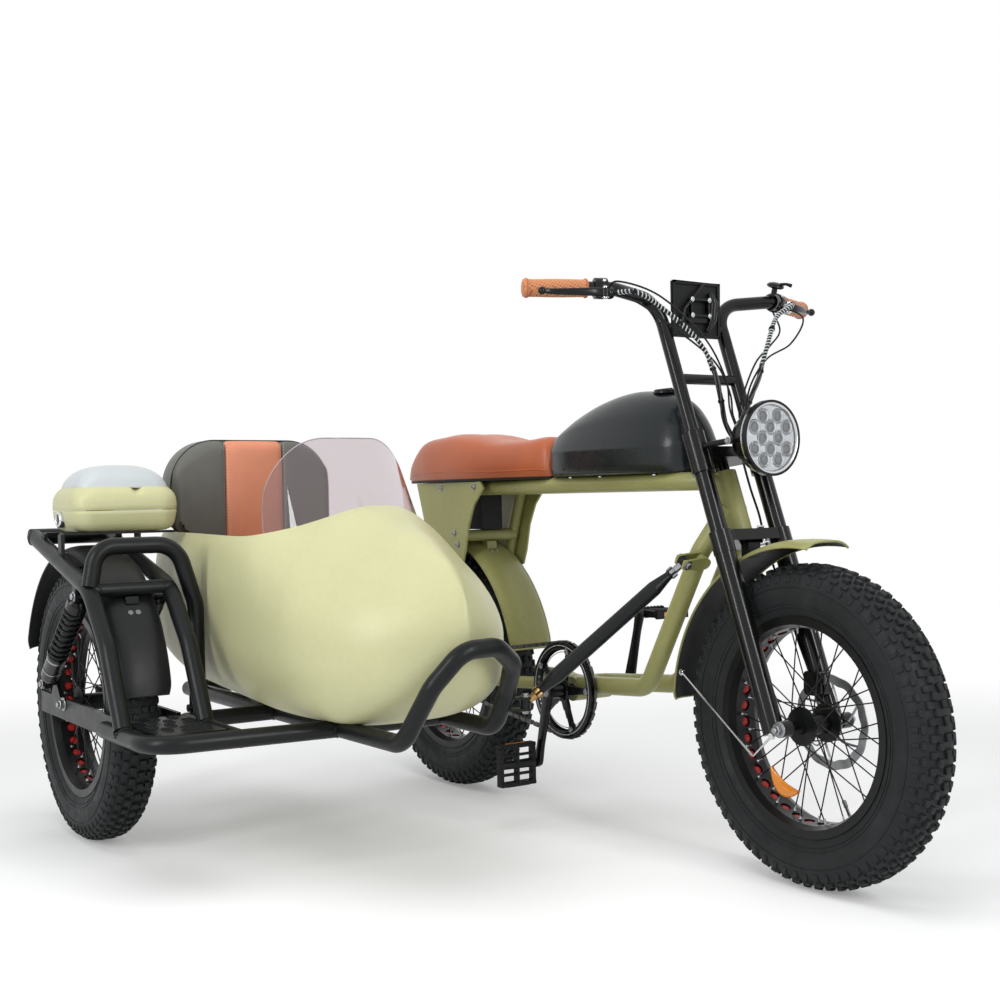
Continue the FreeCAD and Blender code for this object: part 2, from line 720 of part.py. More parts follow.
def seat():
    base = TOP_TUBE_Z + FRAME_TUBE_R + FIT
    crown = SEAT_TOP
    front = TANK_REAR - 2 * FIT
    rows = [(SEAT_REAR, 52, crown - 92), (SEAT_REAR + 12, 78, crown - 52), (SEAT_REAR + 32, 95, crown - 14),
            (SEAT_REAR + 80, 103, crown - 2), (SEAT_REAR + 170, SEAT_HALF, crown - 3),
            (SEAT_REAR + 255, SEAT_HALF, crown), (SEAT_REAR + 330, 104, crown - 7),
            (SEAT_REAR + 430, 96, crown - 24), (SEAT_REAR + 530, 84, crown - 26),
            (SEAT_REAR + 592, 76, crown - 22), (front - 14, 70, crown - 30), (front, 60, crown - 48)]
    profile = [(0.93, 0.0), (0.99, 0.18), (1.0, 0.42), (0.95, 0.70), (0.80, 0.90), (0.55, 0.985), (0.27, 1.0),
               (0.0, 0.99)]
    return loft_domed(rows, base, profile)


def controller():
    half = 30.0
    side = FRAME_HALF - half
    high = TOP_TUBE_Z - math.sqrt(FRAME_TUBE_R ** 2 - side ** 2) - 4 * FIT
    low = BRIDGE_Z + STAY_R + FIT
    return Part.makeBox(88.0, 2 * half, high - low, V(84.0, -half, low))


# Crank set, pedals and chain

def crank_dir():
    a = math.radians(CRANK_LEAN)
    return V(math.sin(a), 0, math.cos(a))


def pitch_radius(teeth):
    return CHAIN_PITCH / (2.0 * math.sin(math.pi / teeth))


def chainring():
    centre = V(BB_X, 0, BB_Z)
    tip = pitch_radius(RING_TEETH) - CHAIN_PLATE_H - RING_GAP
    inner = -CHAIN_Y + 1.0
    outer = -CHAIN_Y - 12.0
    disc = ring(centre, inner - 2.0, inner, tip, 80.0)
    guard_ring = ring(centre, outer, outer + 2.5, tip + 9.0, tip - 14.0)
    parts = [disc, guard_ring, ring(centre, outer - 4.0, inner + 4.0, 24.0)]
    for i in range(5):
        arm = Part.makeBox(tip - 8.0, inner - 2.0 - outer - 2.5, 15.0, V(0, outer + 2.5, -7.5))
        arm.rotate(V(0, 0, 0), V(0, 1, 0), 72.0 * i + CRANK_LEAN)
        arm.translate(centre)
        parts.append(arm)
    whole = fuse(parts)
    return whole.cut(ring(centre, outer - 6, inner + 6, SPINDLE_R + FIT))


def cranks():
    centre = V(BB_X, 0, BB_Z)
    d = crank_dir()
    parts = [ring(centre, -CRANK_Y - 7, -CHAIN_Y - 16.0 - FIT, 17.0)]
    for side in (-1, 1):
        y = side * CRANK_Y
        a = centre + V(0, y, 0)
        b = a + d * (side * CRANK_LEN)
        arm = Part.makeBox(CRANK_LEN, 13.0, 26.0, V(0, -6.5, -13.0))
        arm.Placement = FreeCAD.Placement(a, FreeCAD.Rotation(V(1, 0, 0), (b - a)))
        parts.append(arm)
        parts.append(ring(V(a.x, 0, a.z), y - 7, y + 7, 18.0))
        parts.append(ring(V(b.x, 0, b.z), y - 7, y + 7, 14.0))
        parts.append(rod(V(b.x, y, b.z), V(b.x, y + side * (PEDAL_W + 10.0), b.z), PEDAL_PIN_R))
    parts.append(ring(centre, -CRANK_Y, CRANK_Y, SPINDLE_R))
    return fuse(parts)


def pedal(side):
    centre = V(BB_X, 0, BB_Z)
    at = centre + crank_dir() * (side * CRANK_LEN)
    y0 = CRANK_Y + 7.0 + 5.0
    sign = side
    frame_out = Part.makeBox(PEDAL_L, PEDAL_W, PEDAL_T, V(-PEDAL_L / 2, 0, -PEDAL_T / 2))
    for x in (-PEDAL_L / 4.0, PEDAL_L / 4.0):
        hole = Part.makeBox(PEDAL_L * 0.28, PEDAL_W - 26, PEDAL_T + 2, V(x - PEDAL_L * 0.14, 13, -PEDAL_T / 2 - 1))
        frame_out = frame_out.cut(hole)
    frame_out = frame_out.cut(Part.makeCylinder(PEDAL_PIN_R + PIN_FIT, PEDAL_W + 2, V(0, -1, 0), V(0, 1, 0)))
    if side < 0:
        frame_out.rotate(V(0, 0, 0), V(0, 1, 0), 90.0)
        frame_out.translate(V(at.x, -y0 - PEDAL_W, at.z))
    else:
        frame_out.translate(V(at.x, y0, at.z))
    return frame_out


def chain():
    # A closed band round the ring and the cog, open inside.
    r1 = pitch_radius(RING_TEETH)
    r2 = pitch_radius(COG_TEETH)
    c1 = V(BB_X, 0, BB_Z)
    c2 = V(0, 0, TYRE_R)

    def loop(extra):
        a1 = r1 + extra
        a2 = r2 + extra
        span = (c1 - c2).Length
        lean = math.acos((a1 - a2) / span)
        base = math.atan2(c1.z - c2.z, c1.x - c2.x)
        up = math.pi + base - lean
        def on(c, r, a):
            return V(c.x + r * math.cos(a), -CHAIN_Y - CHAIN_HALF, c.z + r * math.sin(a))
        top = base + math.pi - lean
        low = base + math.pi + lean
        edges = [
            Part.Arc(on(c1, a1, top), on(c1, a1, base), on(c1, a1, low)).toShape(),
            Part.LineSegment(on(c1, a1, low), on(c2, a2, low)).toShape(),
            Part.Arc(on(c2, a2, low), on(c2, a2, base + math.pi), on(c2, a2, top)).toShape(),
            Part.LineSegment(on(c2, a2, top), on(c1, a1, top)).toShape(),
        ]
        return Part.Wire(edges)

    outer = Part.Face(loop(CHAIN_PLATE_H * 0.72))
    inner = Part.Face(loop(-CHAIN_PLATE_H * 0.72))
    band = outer.cut(inner).extrude(V(0, 2 * CHAIN_HALF - 2.4, 0))
    band.translate(V(0, 1.2, 0))
    path = loop(0.0)
    count = int(path.Length / (2.0 * CHAIN_PITCH))
    plates = []
    for at, ahead in zip(path.discretize(count + 1), path.discretize(2 * count + 1)[1::2]):
        run = (ahead - at).normalize()
        plate = Part.makeBox(CHAIN_PITCH + 5.0, 2 * CHAIN_HALF, 2 * CHAIN_PLATE_H,
                             V(-CHAIN_PITCH / 2 - 2.5, 0, -CHAIN_PLATE_H))
        plate.Placement = FreeCAD.Placement(at, FreeCAD.Rotation(V(0, 1, 0), -math.degrees(math.atan2(run.z, run.x))))
        plates.append(plate)
    return band.multiFuse(plates)


# Sidecar chassis

def platform_tube(r):
    # The outer rail of the step, which turns in to the tub's outer rail.
    return tube([(SWING_PIVOT_X - 20, -CAGE_Y_OUT, RAIL_Z), (PLATFORM_X - 30, -CAGE_Y_OUT, RAIL_Z),
                 (PLATFORM_X, -TUB_RAIL_OUT, RAIL_Z)], r, 70.0)


def chassis():
    z = RAIL_Z
    parts = []
    corner = PLATFORM_X
    parts.append(platform_tube(RAIL_R))
    parts.append(rod((SWING_PIVOT_X - 20, -CAGE_Y_IN, z), (corner - 12, -CAGE_Y_IN, z), RAIL_R))
    hoop = [
        V(RAIL_REAR, -TUB_RAIL_OUT, z),
        V(866, -TUB_RAIL_OUT, z),
        V(935, -642, 396),
        V(962, -592, 460),
        V(958, -516, 462),
        V(922, -458, 424),
        V(862, -TUB_RAIL_IN, 364),
        V(812, -TUB_RAIL_IN, z),
        V(700, -TUB_RAIL_IN, z),
    ]
    parts.append(tube(hoop, RAIL_R, 52.0))
    parts.append(rod((RAIL_REAR, -TUB_RAIL_IN, z), (720, -TUB_RAIL_IN, z), RAIL_R - 0.3))
    parts.append(rod((RAIL_REAR, -TUB_RAIL_OUT, z), (RAIL_REAR, -TUB_RAIL_IN, z), RAIL_R - 0.6))
    parts.append(rod((SWING_PIVOT_X - 20.0, -CAGE_Y_IN, z), (SWING_PIVOT_X - 20.0, -TUB_RAIL_IN, z), RAIL_R - 0.6))
    parts.append(rod((PLATFORM_X, -TUB_RAIL_OUT, z), (PLATFORM_X, -TUB_RAIL_IN, z), RAIL_R - 0.6))
    parts.extend(clevis_ears(STRUT_LOW, LOW_BOLT, V(STRUT_LOW.x - 24, -TUB_RAIL_IN + 4, STRUT_LOW.z)))
    for x in (TAIL_X + 70.0, 250.0, 560.0):
        for y in (-TUB_RAIL_OUT, -TUB_RAIL_IN):
            parts.append(Part.makeBox(44.0, 26.0, 60.0, V(x - 22.0, y - 13.0, z)))
    seat_shape = tub_outer()
    seat_shape.translate(V(0, 0, -FIT))
    strut_room = rod(STRUT_LOW, STRUT_HIGH, 7.0 + 3 * FIT)
    return fuse(parts).cut(seat_shape).cut(strut_room)


def step_plate():
    z = RAIL_Z
    x0 = SWING_PIVOT_X + 4
    y0 = -CAGE_Y_OUT + RAIL_R + FIT
    y1 = -CAGE_Y_IN - RAIL_R - FIT
    plate = Part.makeBox(PLATFORM_X - 36 - x0, y1 - y0, 4.0, V(x0, y0, z + RAIL_R - 4.0))
    fitted = plate.cut(platform_tube(RAIL_R + FIT))
    return max(fitted.Solids, key=lambda solid: solid.Volume)


def cage_arm(y, r):
    # A side tube of the wheel cage: up from the rail and back to the rear cross tube.
    pts = [
        V(432, y, RAIL_Z + RAIL_R * 0.7),
        V(352, y, 450),
        V(CAGE_X, y, CAGE_Z),
        V(RACK_X + 5, y, RACK_Z),
    ]
    return tube(pts, r, 130.0)


def cage():
    parts = [cage_arm(-CAGE_Y_OUT, RAIL_R), cage_arm(-CAGE_Y_IN, RAIL_R)]
    parts.append(rod((CAGE_X, -CAGE_Y_OUT, CAGE_Z), (CAGE_X, -CAGE_Y_IN, CAGE_Z), RAIL_R - 2))
    arch = [
        V(CAGE_X, -CAGE_Y_OUT, CAGE_Z + 8),
        V(CAGE_X, -CAGE_Y_OUT + 14, ARCH_Z),
        V(CAGE_X, -CAGE_Y_IN + 16, ARCH_Z),
        V(CAGE_X - 4, -CAGE_Y_IN + 58, 519),
        V(CAGE_X + 40, -CAGE_Y_IN + 42, RAIL_Z),
    ]
    parts.append(tube(arch, RAIL_R, 60.0))
    parts.append(rod((CAGE_X + 40, -CAGE_Y_IN + RAIL_R + 2, RAIL_Z + 20), (CAGE_X + 40, -CAGE_Y_IN + 42, RAIL_Z + 20), 8))
    parts.append(rod((RACK_X, -CAGE_Y_OUT - 8, RACK_Z), (RACK_X, -CAGE_Y_IN + 12, RACK_Z), RAIL_R + 0.6))
    for y in (-CAGE_Y_OUT, -CAGE_Y_IN):
        parts.extend(shock_ears(y))
    whole = fuse(parts)
    rails = rod((SWING_PIVOT_X - 60, -CAGE_Y_OUT, RAIL_Z), (PLATFORM_X, -CAGE_Y_OUT, RAIL_Z), RAIL_R + 0.05)
    rails2 = rod((RAIL_REAR, -CAGE_Y_IN, RAIL_Z), (PLATFORM_X, -CAGE_Y_IN, RAIL_Z), RAIL_R + 0.05)
    return whole.cut(Part.makeCompound([rails, rails2]))


def box_rack():
    # Two slats under the box, each on feet that straddle the cage's side tubes.
    bars = []
    z = BOX_BOTTOM - FIT - SLAT_T
    for x in (-SLAT_X, SLAT_X):
        slat = Part.makeBox(SLAT_W, CAGE_Y_OUT - BOX_Y + BOX_W / 2 - 10, SLAT_T, V(x - SLAT_W / 2, -CAGE_Y_OUT, z))
        bar = [slat]
        slope = (CAGE_Z - RACK_Z) / (CAGE_X - RACK_X - 5)
        axis = RACK_Z + slope * (x - RACK_X - 5)
        for y in (-CAGE_Y_OUT, -CAGE_Y_IN):
            bar.append(Part.makeBox(SLAT_W - 8, 8.0, z + 1 - axis, V(x - SLAT_W / 2 + 4, y - 4, axis)))
        bars.append(fuse(bar).cut(cage_arm(-CAGE_Y_OUT, RAIL_R + FIT)).cut(cage_arm(-CAGE_Y_IN, RAIL_R + FIT)))
    return Part.makeCompound([max(bar.Solids, key=lambda solid: solid.Volume) for bar in bars])


def swingarm():
    parts = []
    for side in (-1, 1):
        y = -SIDE_TRACK + side * (SWING_GAP + SWING_T / 2.0) - SWING_T / 2.0
        outline = [(-170, RAIL_Z - 20), (-170, RAIL_Z + 26), (SWING_PIVOT_X, RAIL_Z + 22),
                   (SWING_PIVOT_X, RAIL_Z - 24)]
        plate = flat_y(outline, y, SWING_T)
        tab = flat_y([(-96, RAIL_Z + 20), (-78, 336), (-50, 336), (-26, RAIL_Z + 20)], y, SWING_T)
        tab = tab.fuse(ring(V(SHOCK_LOW_X, 0, SHOCK_LOW_Z), y, y + SWING_T, 14.0))
        stud_y = -CAGE_Y_OUT if side < 0 else -CAGE_Y_IN
        low_y = min(stud_y + side * 11, y + SWING_T / 2)
        stud = ring(V(SHOCK_LOW_X, 0, SHOCK_LOW_Z), low_y, max(stud_y + side * 11, y + SWING_T / 2), BOLT_R)
        parts.append(fuse([plate, tab, stud]).cut(ring(V(SIDE_LEAD, 0, TYRE_R), y - 5, y + 15, AXLE_R + PIN_FIT)))
    return Part.makeCompound(parts)


def shock(y):
    top = V(SHOCK_TOP_X, y, SHOCK_TOP_Z)
    low = V(SHOCK_LOW_X, y, SHOCK_LOW_Z)
    axis = (low - top).normalize()
    length = (low - top).Length
    parts = [
        ring(top, y - 8, y + 8, EYE_R),
        ring(low, y - 8, y + 8, EYE_R),
        rod(top, low, 8.0),
        rod(top + axis * 14, top + axis * 40, 21.0),
        rod(top + axis * 36, top + axis * (length - 100), 16.0),
        rod(top + axis * (length - 110), top + axis * (length - 24), 20.0),
    ]
    first = 44.0
    last = length - 116.0
    turns = 8
    pitch = (last - first) / turns
    profile = [(first, 0.0), (first, 14.0)]
    for i in range(turns):
        at = first + pitch * i
        profile += [(at + pitch * 0.2, 23.5), (at + pitch * 0.5, 23.5), (at + pitch * 0.7, 15.0), (at + pitch, 15.0)]
    profile.append((last, 0.0))
    side = V(0, 1, 0)
    pts = [top + axis * along + side * out for along, out in profile]
    coil = Part.Face(Part.makePolygon(pts + [pts[0]])).revolve(top, axis, 360)
    whole = fuse(parts + [coil])
    return whole.cut(ring(low, y - 20, y + 20, BOLT_R + PIN_FIT)).fuse(ring(top, y - 20, y + 20, BOLT_R))


def shock_ears(y):
    ears = []
    for side in (-1, 1):
        face = y + side * (8.0 + FIT)
        low = min(face, face + side * 5.0)
        ear = Part.makeBox(22.0, 5.0, 40.0, V(SHOCK_TOP_X - 11.0, low, SHOCK_TOP_Z - 10.0))
        ears.append(ear.cut(ring(V(SHOCK_TOP_X, 0, SHOCK_TOP_Z), low - 1, low + 6, BOLT_R + FIT)))
    return ears


def clevis_ears(at, axis, root):
    # Two ears, either side of an eye at the point at, that reach back to the tube at the point root.
    back = root - at
    back = (back - axis * back.dot(axis))
    reach = back.Length
    back.normalize()
    across = axis.cross(back)
    ears = []
    for gap in (EYE_HALF + FIT, -EYE_HALF - FIT - EAR_T):
        base = at + axis * gap
        pts = [
            base - back * 11 - across * 9,
            base - back * 11 + across * 9,
            base + back * reach + across * 15,
            base + back * reach - across * 15,
        ]
        ear = Part.Face(Part.makePolygon(pts + [pts[0]])).extrude(axis * EAR_T)
        ears.append(ear.cut(rod(at - axis * 30, at + axis * 30, BOLT_R + FIT)))
    return ears


def struts():
    # A turnbuckle strut: a tube that tapers to threaded ends with lock nuts.
    axis = STRUT_HIGH - STRUT_LOW
    length = axis.Length
    axis.normalize()
    side = axis.cross(V(0, 0, 1)).normalize()
    profile = [(0, 7.0), (26, 7.0), (26, 11.0), (38, 11.0), (38, 9.0), (44, 9.0), (78, STRUT_R)]
    far = [(length - along, r) for along, r in reversed(profile)]
    pts = [STRUT_LOW] + [STRUT_LOW + axis * along + side * r for along, r in profile + far] + [STRUT_HIGH]
    parts = [Part.Face(Part.makePolygon(pts + [pts[0]])).revolve(STRUT_LOW, axis, 360)]
    for at, pin in ((STRUT_LOW, LOW_BOLT), (STRUT_HIGH, HIGH_BOLT)):
        parts.append(rod(at - pin * EYE_HALF, at + pin * EYE_HALF, EYE_R))
        parts.append(rod(at - pin * 19, at + pin * 19, BOLT_R))
    return fuse(parts)


def lower_arms():
    arms = []
    rail = -TUB_RAIL_IN
    stay = -STAY_HALF
    for x in (92.0, 190.0):
        a = V(x, rail, RAIL_Z)
        b = V(x, stay, STAY_Z)
        across = V(12, 0, 0)
        arm = fuse([rod(a, b, 13.0), rod(a - across, a + across, RAIL_R + 6), rod(b - across, b + across, STAY_R + 5)])
        holes = [rod(a - across * 2, a + across * 2, RAIL_R + FIT), rod(b - across * 2, b + across * 2, STAY_R + FIT)]
        arms.append(arm.cut(Part.makeCompound(holes)))
    return Part.makeCompound(arms)


# Sidecar body

def tub_sections(wall=0.0):
    # Outlines across x: from the tail to the cowl's top, and then closing round the nose.
    low = TUB_FLOOR
    rows = [
        (TAIL_X, 0.74, low + 98, 700), (TAIL_X + 40, 0.87, low + 45, 742), (-60, 0.92, low + 26, 754),
        (30, 0.955, low + 12, 758), (130, 0.975, low + 5, 754), (250, 0.99, low - 2, 745), (350, 1.0, low - 8, 735),
        (450, 1.0, low - 13, 726), (530, 0.99, low - 13, 722),
    ]
    rows = [row + (TUB_UPPER,) for row in rows]
    for step in range(9):
        turn = math.radians(min(11.0 * step, 87.0))
        close = math.cos(turn)
        drop = close * (0.78 + 0.22 * math.exp(-4.5 * turn))
        upper = TUB_UPPER + (NOSE_UPPER - TUB_UPPER) * min(1.0, step / 4.0)
        rows.append((COWL_X + (NOSE_X - COWL_X) * math.sin(turn), 0.975 * close,
                     NOSE_Z - (NOSE_Z - low + 11) * close, NOSE_Z + (COWL_TOP + 6 - NOSE_Z) * drop, upper))
    out = []
    for x, wide, bottom, high, upper in rows:
        out.append((x, -TUB_Y, TUB_HALF * wide - wall, bottom + wall, high - wall, upper, TUB_LOWER, TUB_WAIST))
    return out


def tub_outer():
    return loft_smooth(tub_sections())


def loft_smooth(sections):
    wires = [superellipse(*row) for row in sections]
    return Part.makeLoft(wires, True, False, False, 3)


def rim_cutter():
    pts = [V(TAIL_X - 60, 0, TUB_RIM), V(0, 0, TUB_RIM), V(250, 0, TUB_RIM - 4), V(400, 0, TUB_RIM - 4),
           V(500, 0, TUB_RIM + 10), V(580, 0, COWL_TOP - 8), V(640, 0, COWL_TOP + 40)]
    curve = Part.BSplineCurve()
    curve.interpolate(pts)
    top = [V(640, 0, 1000), V(TAIL_X - 60, 0, 1000)]
    edges = [
        curve.toShape(),
        Part.LineSegment(pts[-1], top[0]).toShape(),
        Part.LineSegment(top[0], top[1]).toShape(),
        Part.LineSegment(top[1], pts[0]).toShape(),
    ]
    face = Part.Face(Part.Wire(edges))
    face.translate(V(0, -TUB_Y - 400, 0))
    return face.extrude(V(0, 800, 0))


def tub():
    outer = tub_outer()
    inner_rows = [row for row in tub_sections(TUB_WALL)]
    inner_rows[0] = (inner_rows[0][0] + TUB_WALL,) + inner_rows[0][1:]
    inner_rows[-1] = (inner_rows[-1][0] - TUB_WALL,) + inner_rows[-1][1:]
    inner = loft_smooth(inner_rows)
    return outer.cut(inner).cut(rim_cutter())


def windshield():
    # A bowed clear sheet with rounded upper corners, standing on the cowl.
    def bow(inset):
        half = SCREEN_HALF - inset
        return V(SCREEN_BACK_X, -TUB_Y - half, 0), V(SCREEN_FRONT_X - inset, -TUB_Y, 0), V(SCREEN_BACK_X, -TUB_Y + half, 0)

    outer = bow(0.0)
    inner = bow(SCREEN_THICK)
    edges = [
        Part.Arc(*outer).toShape(),
        Part.LineSegment(outer[2], inner[2]).toShape(),
        Part.Arc(*inner).toShape(),
        Part.LineSegment(inner[0], outer[0]).toShape(),
    ]
    face = Part.Face(Part.Wire(Part.__sortEdges__(edges)))
    face.translate(V(0, 0, SCREEN_LOW))
    tall = SCREEN_TOP - SCREEN_LOW
    sheet = face.extrude(V(-SCREEN_LEAN, 0, tall))
    room = SCREEN_HALF + FIT
    outline = Part.makeBox(SCREEN_FRONT_X, 2 * room, tall, V(SCREEN_LEAN, -TUB_Y - room, SCREEN_LOW))
    tops = [e for e in outline.Edges if all(abs(v.Z - SCREEN_TOP) < 1e-6 for v in e.Vertexes)]
    tops = [e for e in tops if abs(e.tangentAt(e.FirstParameter).x) > 0.9]
    outline = outline.makeFillet(SCREEN_ROUND, tops)
    body = tub_outer()
    body.translate(V(0, 0, FIT))
    return sheet.common(outline).cut(body)


def tub_inside(gap):
    rows = tub_sections(TUB_WALL + gap)
    return loft_smooth(rows)


def tub_seat():
    return rounded_box(10, 420, -TUB_Y - 190, -TUB_Y + 190, BENCH_Z + FIT, BENCH_Z + 90, 50, 20)


def seat_bench():
    block = rounded_box(-100, 400, -TUB_Y - 200, -TUB_Y + 200, TUB_FLOOR - 10, BENCH_Z, 40)
    return block.common(tub_inside(FIT))


def backrest():
    # A padded board with a rounded head; below the rim it stands clear of the tub's walls.
    x0 = -82.0
    x1 = 2.0
    y0 = -TUB_Y - BACK_HALF
    board = Part.makeBox(x1 - x0, 2 * BACK_HALF, BACK_TOP - BENCH_Z - FIT, V(x0, y0, BENCH_Z + FIT))
    head = [e for e in board.Edges if all(abs(v.Z - BACK_TOP) < 1e-6 for v in e.Vertexes)
            and abs(e.tangentAt(e.FirstParameter).x) > 0.99]
    board = board.makeFillet(BACK_ROUND, head)
    faces = [e for e in board.Edges if all(abs(v.X - x0) < 1e-6 or abs(v.X - x1) < 1e-6 for v in e.Vertexes)
             and abs(e.tangentAt(e.FirstParameter).x) < 0.01 and max(v.Z for v in e.Vertexes) > BENCH_Z + 50]
    board = board.makeFillet(16.0, faces)
    below = Part.makeBox(400, 900, TUB_RIM + 8 - BENCH_Z, V(-200, -TUB_Y - 450, BENCH_Z))
    return fuse([board.common(below).common(tub_inside(2.0)), board.cut(below)])


# Tail box

def tail_box():
    x0 = -BOX_L / 2
    y0 = -BOX_Y - BOX_W / 2
    outer = rounded_box(x0, x0 + BOX_L, y0, y0 + BOX_W, BOX_BOTTOM, BOX_SEAM, BOX_ROUND, 0.0, 16.0)
    w = BOX_WALL
    inner = rounded_box(x0 + w, x0 + BOX_L - w, y0 + w, y0 + BOX_W - w, BOX_BOTTOM + w, BOX_SEAM + 1, BOX_ROUND - w, 0.0, 12.0)
    shell = outer.cut(inner)
    parts = [shell]
    pin_at = V(-BOX_L / 2 - HINGE_R, 0, BOX_SEAM + FIT)
    for y in (-BOX_Y - 30.0, -BOX_Y + 20.0):
        parts.append(hinge_leaf(y, y + 10.0, False))
        parts.append(hinge_barrel(y, y + 10.0))
    parts.append(ring(pin_at, -BOX_Y - 30.0, -BOX_Y + 30.0, HINGE_PIN_R))
    parts.append(ring(pin_at, -BOX_Y - 30.0, -BOX_Y - 20.0, HINGE_R))
    parts.append(ring(pin_at, -BOX_Y + 20.0, -BOX_Y + 30.0, HINGE_R))
    return fuse(parts)


def box_lid():
    x0 = -BOX_L / 2
    y0 = -BOX_Y - BOX_W / 2
    z0 = BOX_SEAM + 0.6
    outer = rounded_box(x0, x0 + BOX_L, y0, y0 + BOX_W, z0, BOX_TOP, BOX_ROUND, 16)
    w = BOX_WALL
    inner = rounded_box(x0 + w, x0 + BOX_L - w, y0 + w, y0 + BOX_W - w, z0 - 1, BOX_TOP - w, BOX_ROUND - w, 12)
    y = -BOX_Y - 20.0 + FIT
    leaf = hinge_leaf(y, y + 40.0 - 2 * FIT, True)
    bore = ring(V(-BOX_L / 2 - HINGE_R, 0, BOX_SEAM + FIT), y - 1, y + 41, HINGE_PIN_R + PIN_FIT)
    return fuse([outer.cut(inner), leaf.cut(bore), hinge_barrel(y, y + 40.0 - 2 * FIT)])


def hinge_barrel(y0, y1):
    centre = V(-BOX_L / 2 - HINGE_R, 0, BOX_SEAM + FIT)
    return ring(centre, y0, y1, HINGE_R, HINGE_PIN_R + PIN_FIT)


def hinge_leaf(y0, y1, up):
    x = -BOX_L / 2
    z = BOX_SEAM - 14.0 if not up else BOX_SEAM + 2.0
    return Part.makeBox(HINGE_R, y1 - y0, 12.0, V(x - HINGE_R, y0, z))


def lid_pad():
    x0 = -BOX_L / 2 + 22
    y0 = -BOX_Y - BOX_W / 2 + 22
    return rounded_box(x0, x0 + BOX_L - 44, y0, y0 + BOX_W - 44, BOX_TOP + FIT, BOX_TOP + PAD_T, BOX_ROUND - 10, 14)


def emit(name, shape):
    moved = shape.copy()
    moved.translate(V(-ORIGIN_X, -ORIGIN_Y, 0))
    moved.exportStep("parts/" + name + ".step")



os.makedirs("parts", exist_ok=True)
rear_axle = V(0, 0, TYRE_R)
side_axle = V(SIDE_LEAD, -SIDE_TRACK, TYRE_R)
pieces = {}
one_tyre = make_tyre()
for label, centre in (("front", AXLE_FRONT), ("rear", rear_axle), ("sidecar", side_axle)):
    pieces[label + "_tyre"] = one_tyre.translated(centre)
    pieces[label + "_rim"] = rim(centre)
pieces["front_hub"] = hub(AXLE_FRONT, HUB_R, HUB_FLANGE_R, HUB_FLANGE_Y, FORK_HALF + LEG_R * 0.55 + 6)
pieces["rear_hub_motor"] = hub(rear_axle, MOTOR_R, MOTOR_R + 2, MOTOR_FLANGE_Y, STAY_HALF + 12, 18.0, rear_cog(rear_axle))
pieces["sidecar_hub"] = hub(side_axle, HUB_R, HUB_FLANGE_R, HUB_FLANGE_Y, SWING_GAP + SWING_T + 8)
pieces["front_brake_disc"] = brake_disc(AXLE_FRONT, HUB_FLANGE_Y + HUB_END)
pieces["rear_brake_disc"] = brake_disc(rear_axle, MOTOR_FLANGE_Y + HUB_END)
pieces["fork"] = fork()
bar, bar_spread, bar_end, bar_clear = handlebar()
pieces["handlebar"] = bar
pieces["grips"] = grips(bar_spread, bar_end)
pieces["brake_levers"] = controls(bar_spread, bar_end, bar_clear)
collars = [rod(head_point(HEAD_Z_TOP, FORK_LEAD, y), head_point(UPPER_CROWN_Z + UPPER_COLLAR_H, FORK_LEAD, y),
               COLLAR_R + FIT) for y in (-FORK_HALF, FORK_HALF)]
pieces["headlight"] = fuse([lamp()] + lamp_bracket()).cut(Part.makeCompound(collars))
pieces["headlight_lens"] = lamp_lens()
pieces["cables"] = cables(bar_spread, bar_end)
pieces["display_plate"] = display_plate()
crown_low = head_point((HEAD_Z_LOW + LEG_TOP_Z) / 2.0, FORK_LEAD - 4.0)
fork_seat = pieces["fork"].translated(-HEAD_UP * FIT)
pieces["front_fender"] = fuse([front_guard(), bracket(crown_low.x, 0, 16.0, guard_top(AXLE_FRONT, FRONT_GUARD_R,
                               crown_low.x) - 8.0, crown_low.z)]).cut(fork_seat)
pieces["bike_frame"] = main_frame()
pieces["side_plates"] = side_plates()
pieces["tank"] = tank()
pieces["seat"] = seat()
pieces["controller_box"] = controller()
pieces["rear_fender"] = fuse([guard(rear_axle, REAR_GUARD_R, 60.0, 12.0, 165.0), bracket(BRIDGE_X, 0, 14.0,
                              guard_top(rear_axle, REAR_GUARD_R, BRIDGE_X) - 8.0, BRIDGE_Z - STAY_R - FIT)])
pieces["chainring"] = chainring()
pieces["cranks"] = cranks()
pieces["right_pedal"] = pedal(-1)
pieces["left_pedal"] = pedal(1)
pieces["chain"] = chain()
pieces["sidecar_chassis"] = chassis()
pieces["step_plate"] = step_plate()
pieces["wheel_cage"] = cage()
pieces["box_rack"] = box_rack()
pieces["swingarm"] = swingarm()
pieces["shocks"] = Part.makeCompound([shock(-CAGE_Y_OUT), shock(-CAGE_Y_IN)])
pieces["front_strut"] = struts()
pieces["lower_arms"] = lower_arms()
pieces["sidecar_fender"] = fuse([guard(side_axle, SIDE_GUARD_R, 55.0, 8.0, 163.0), bracket(CAGE_X, -SIDE_TRACK, 14.0,
                                 guard_top(side_axle, SIDE_GUARD_R, CAGE_X) - 10.0, CAGE_Z - RAIL_R + 2.0 - FIT)])
pieces["tub"] = tub()
pieces["seat_bench"] = seat_bench()
pieces["windshield"] = windshield()
pieces["tub_seat"] = tub_seat()
pieces["tub_backrest"] = backrest()
pieces["tail_box"] = tail_box()
pieces["box_lid"] = box_lid()
pieces["lid_pad"] = lid_pad()
for name, shape in pieces.items():
    emit(name, shape)
    box = shape.BoundBox
    print(name, len(shape.Solids), shape.isValid(), round(shape.Volume / 1000), [round(v) for v in
          (box.XMin, box.XMax, box.YMin, box.YMax, box.ZMin, box.ZMax)])
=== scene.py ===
from math import atan2, copysign, cos, exp, pi, radians, sin, sqrt

import bmesh
import bpy
from mathutils import Matrix, Quaternion, Vector
from mathutils.bvhtree import BVHTree


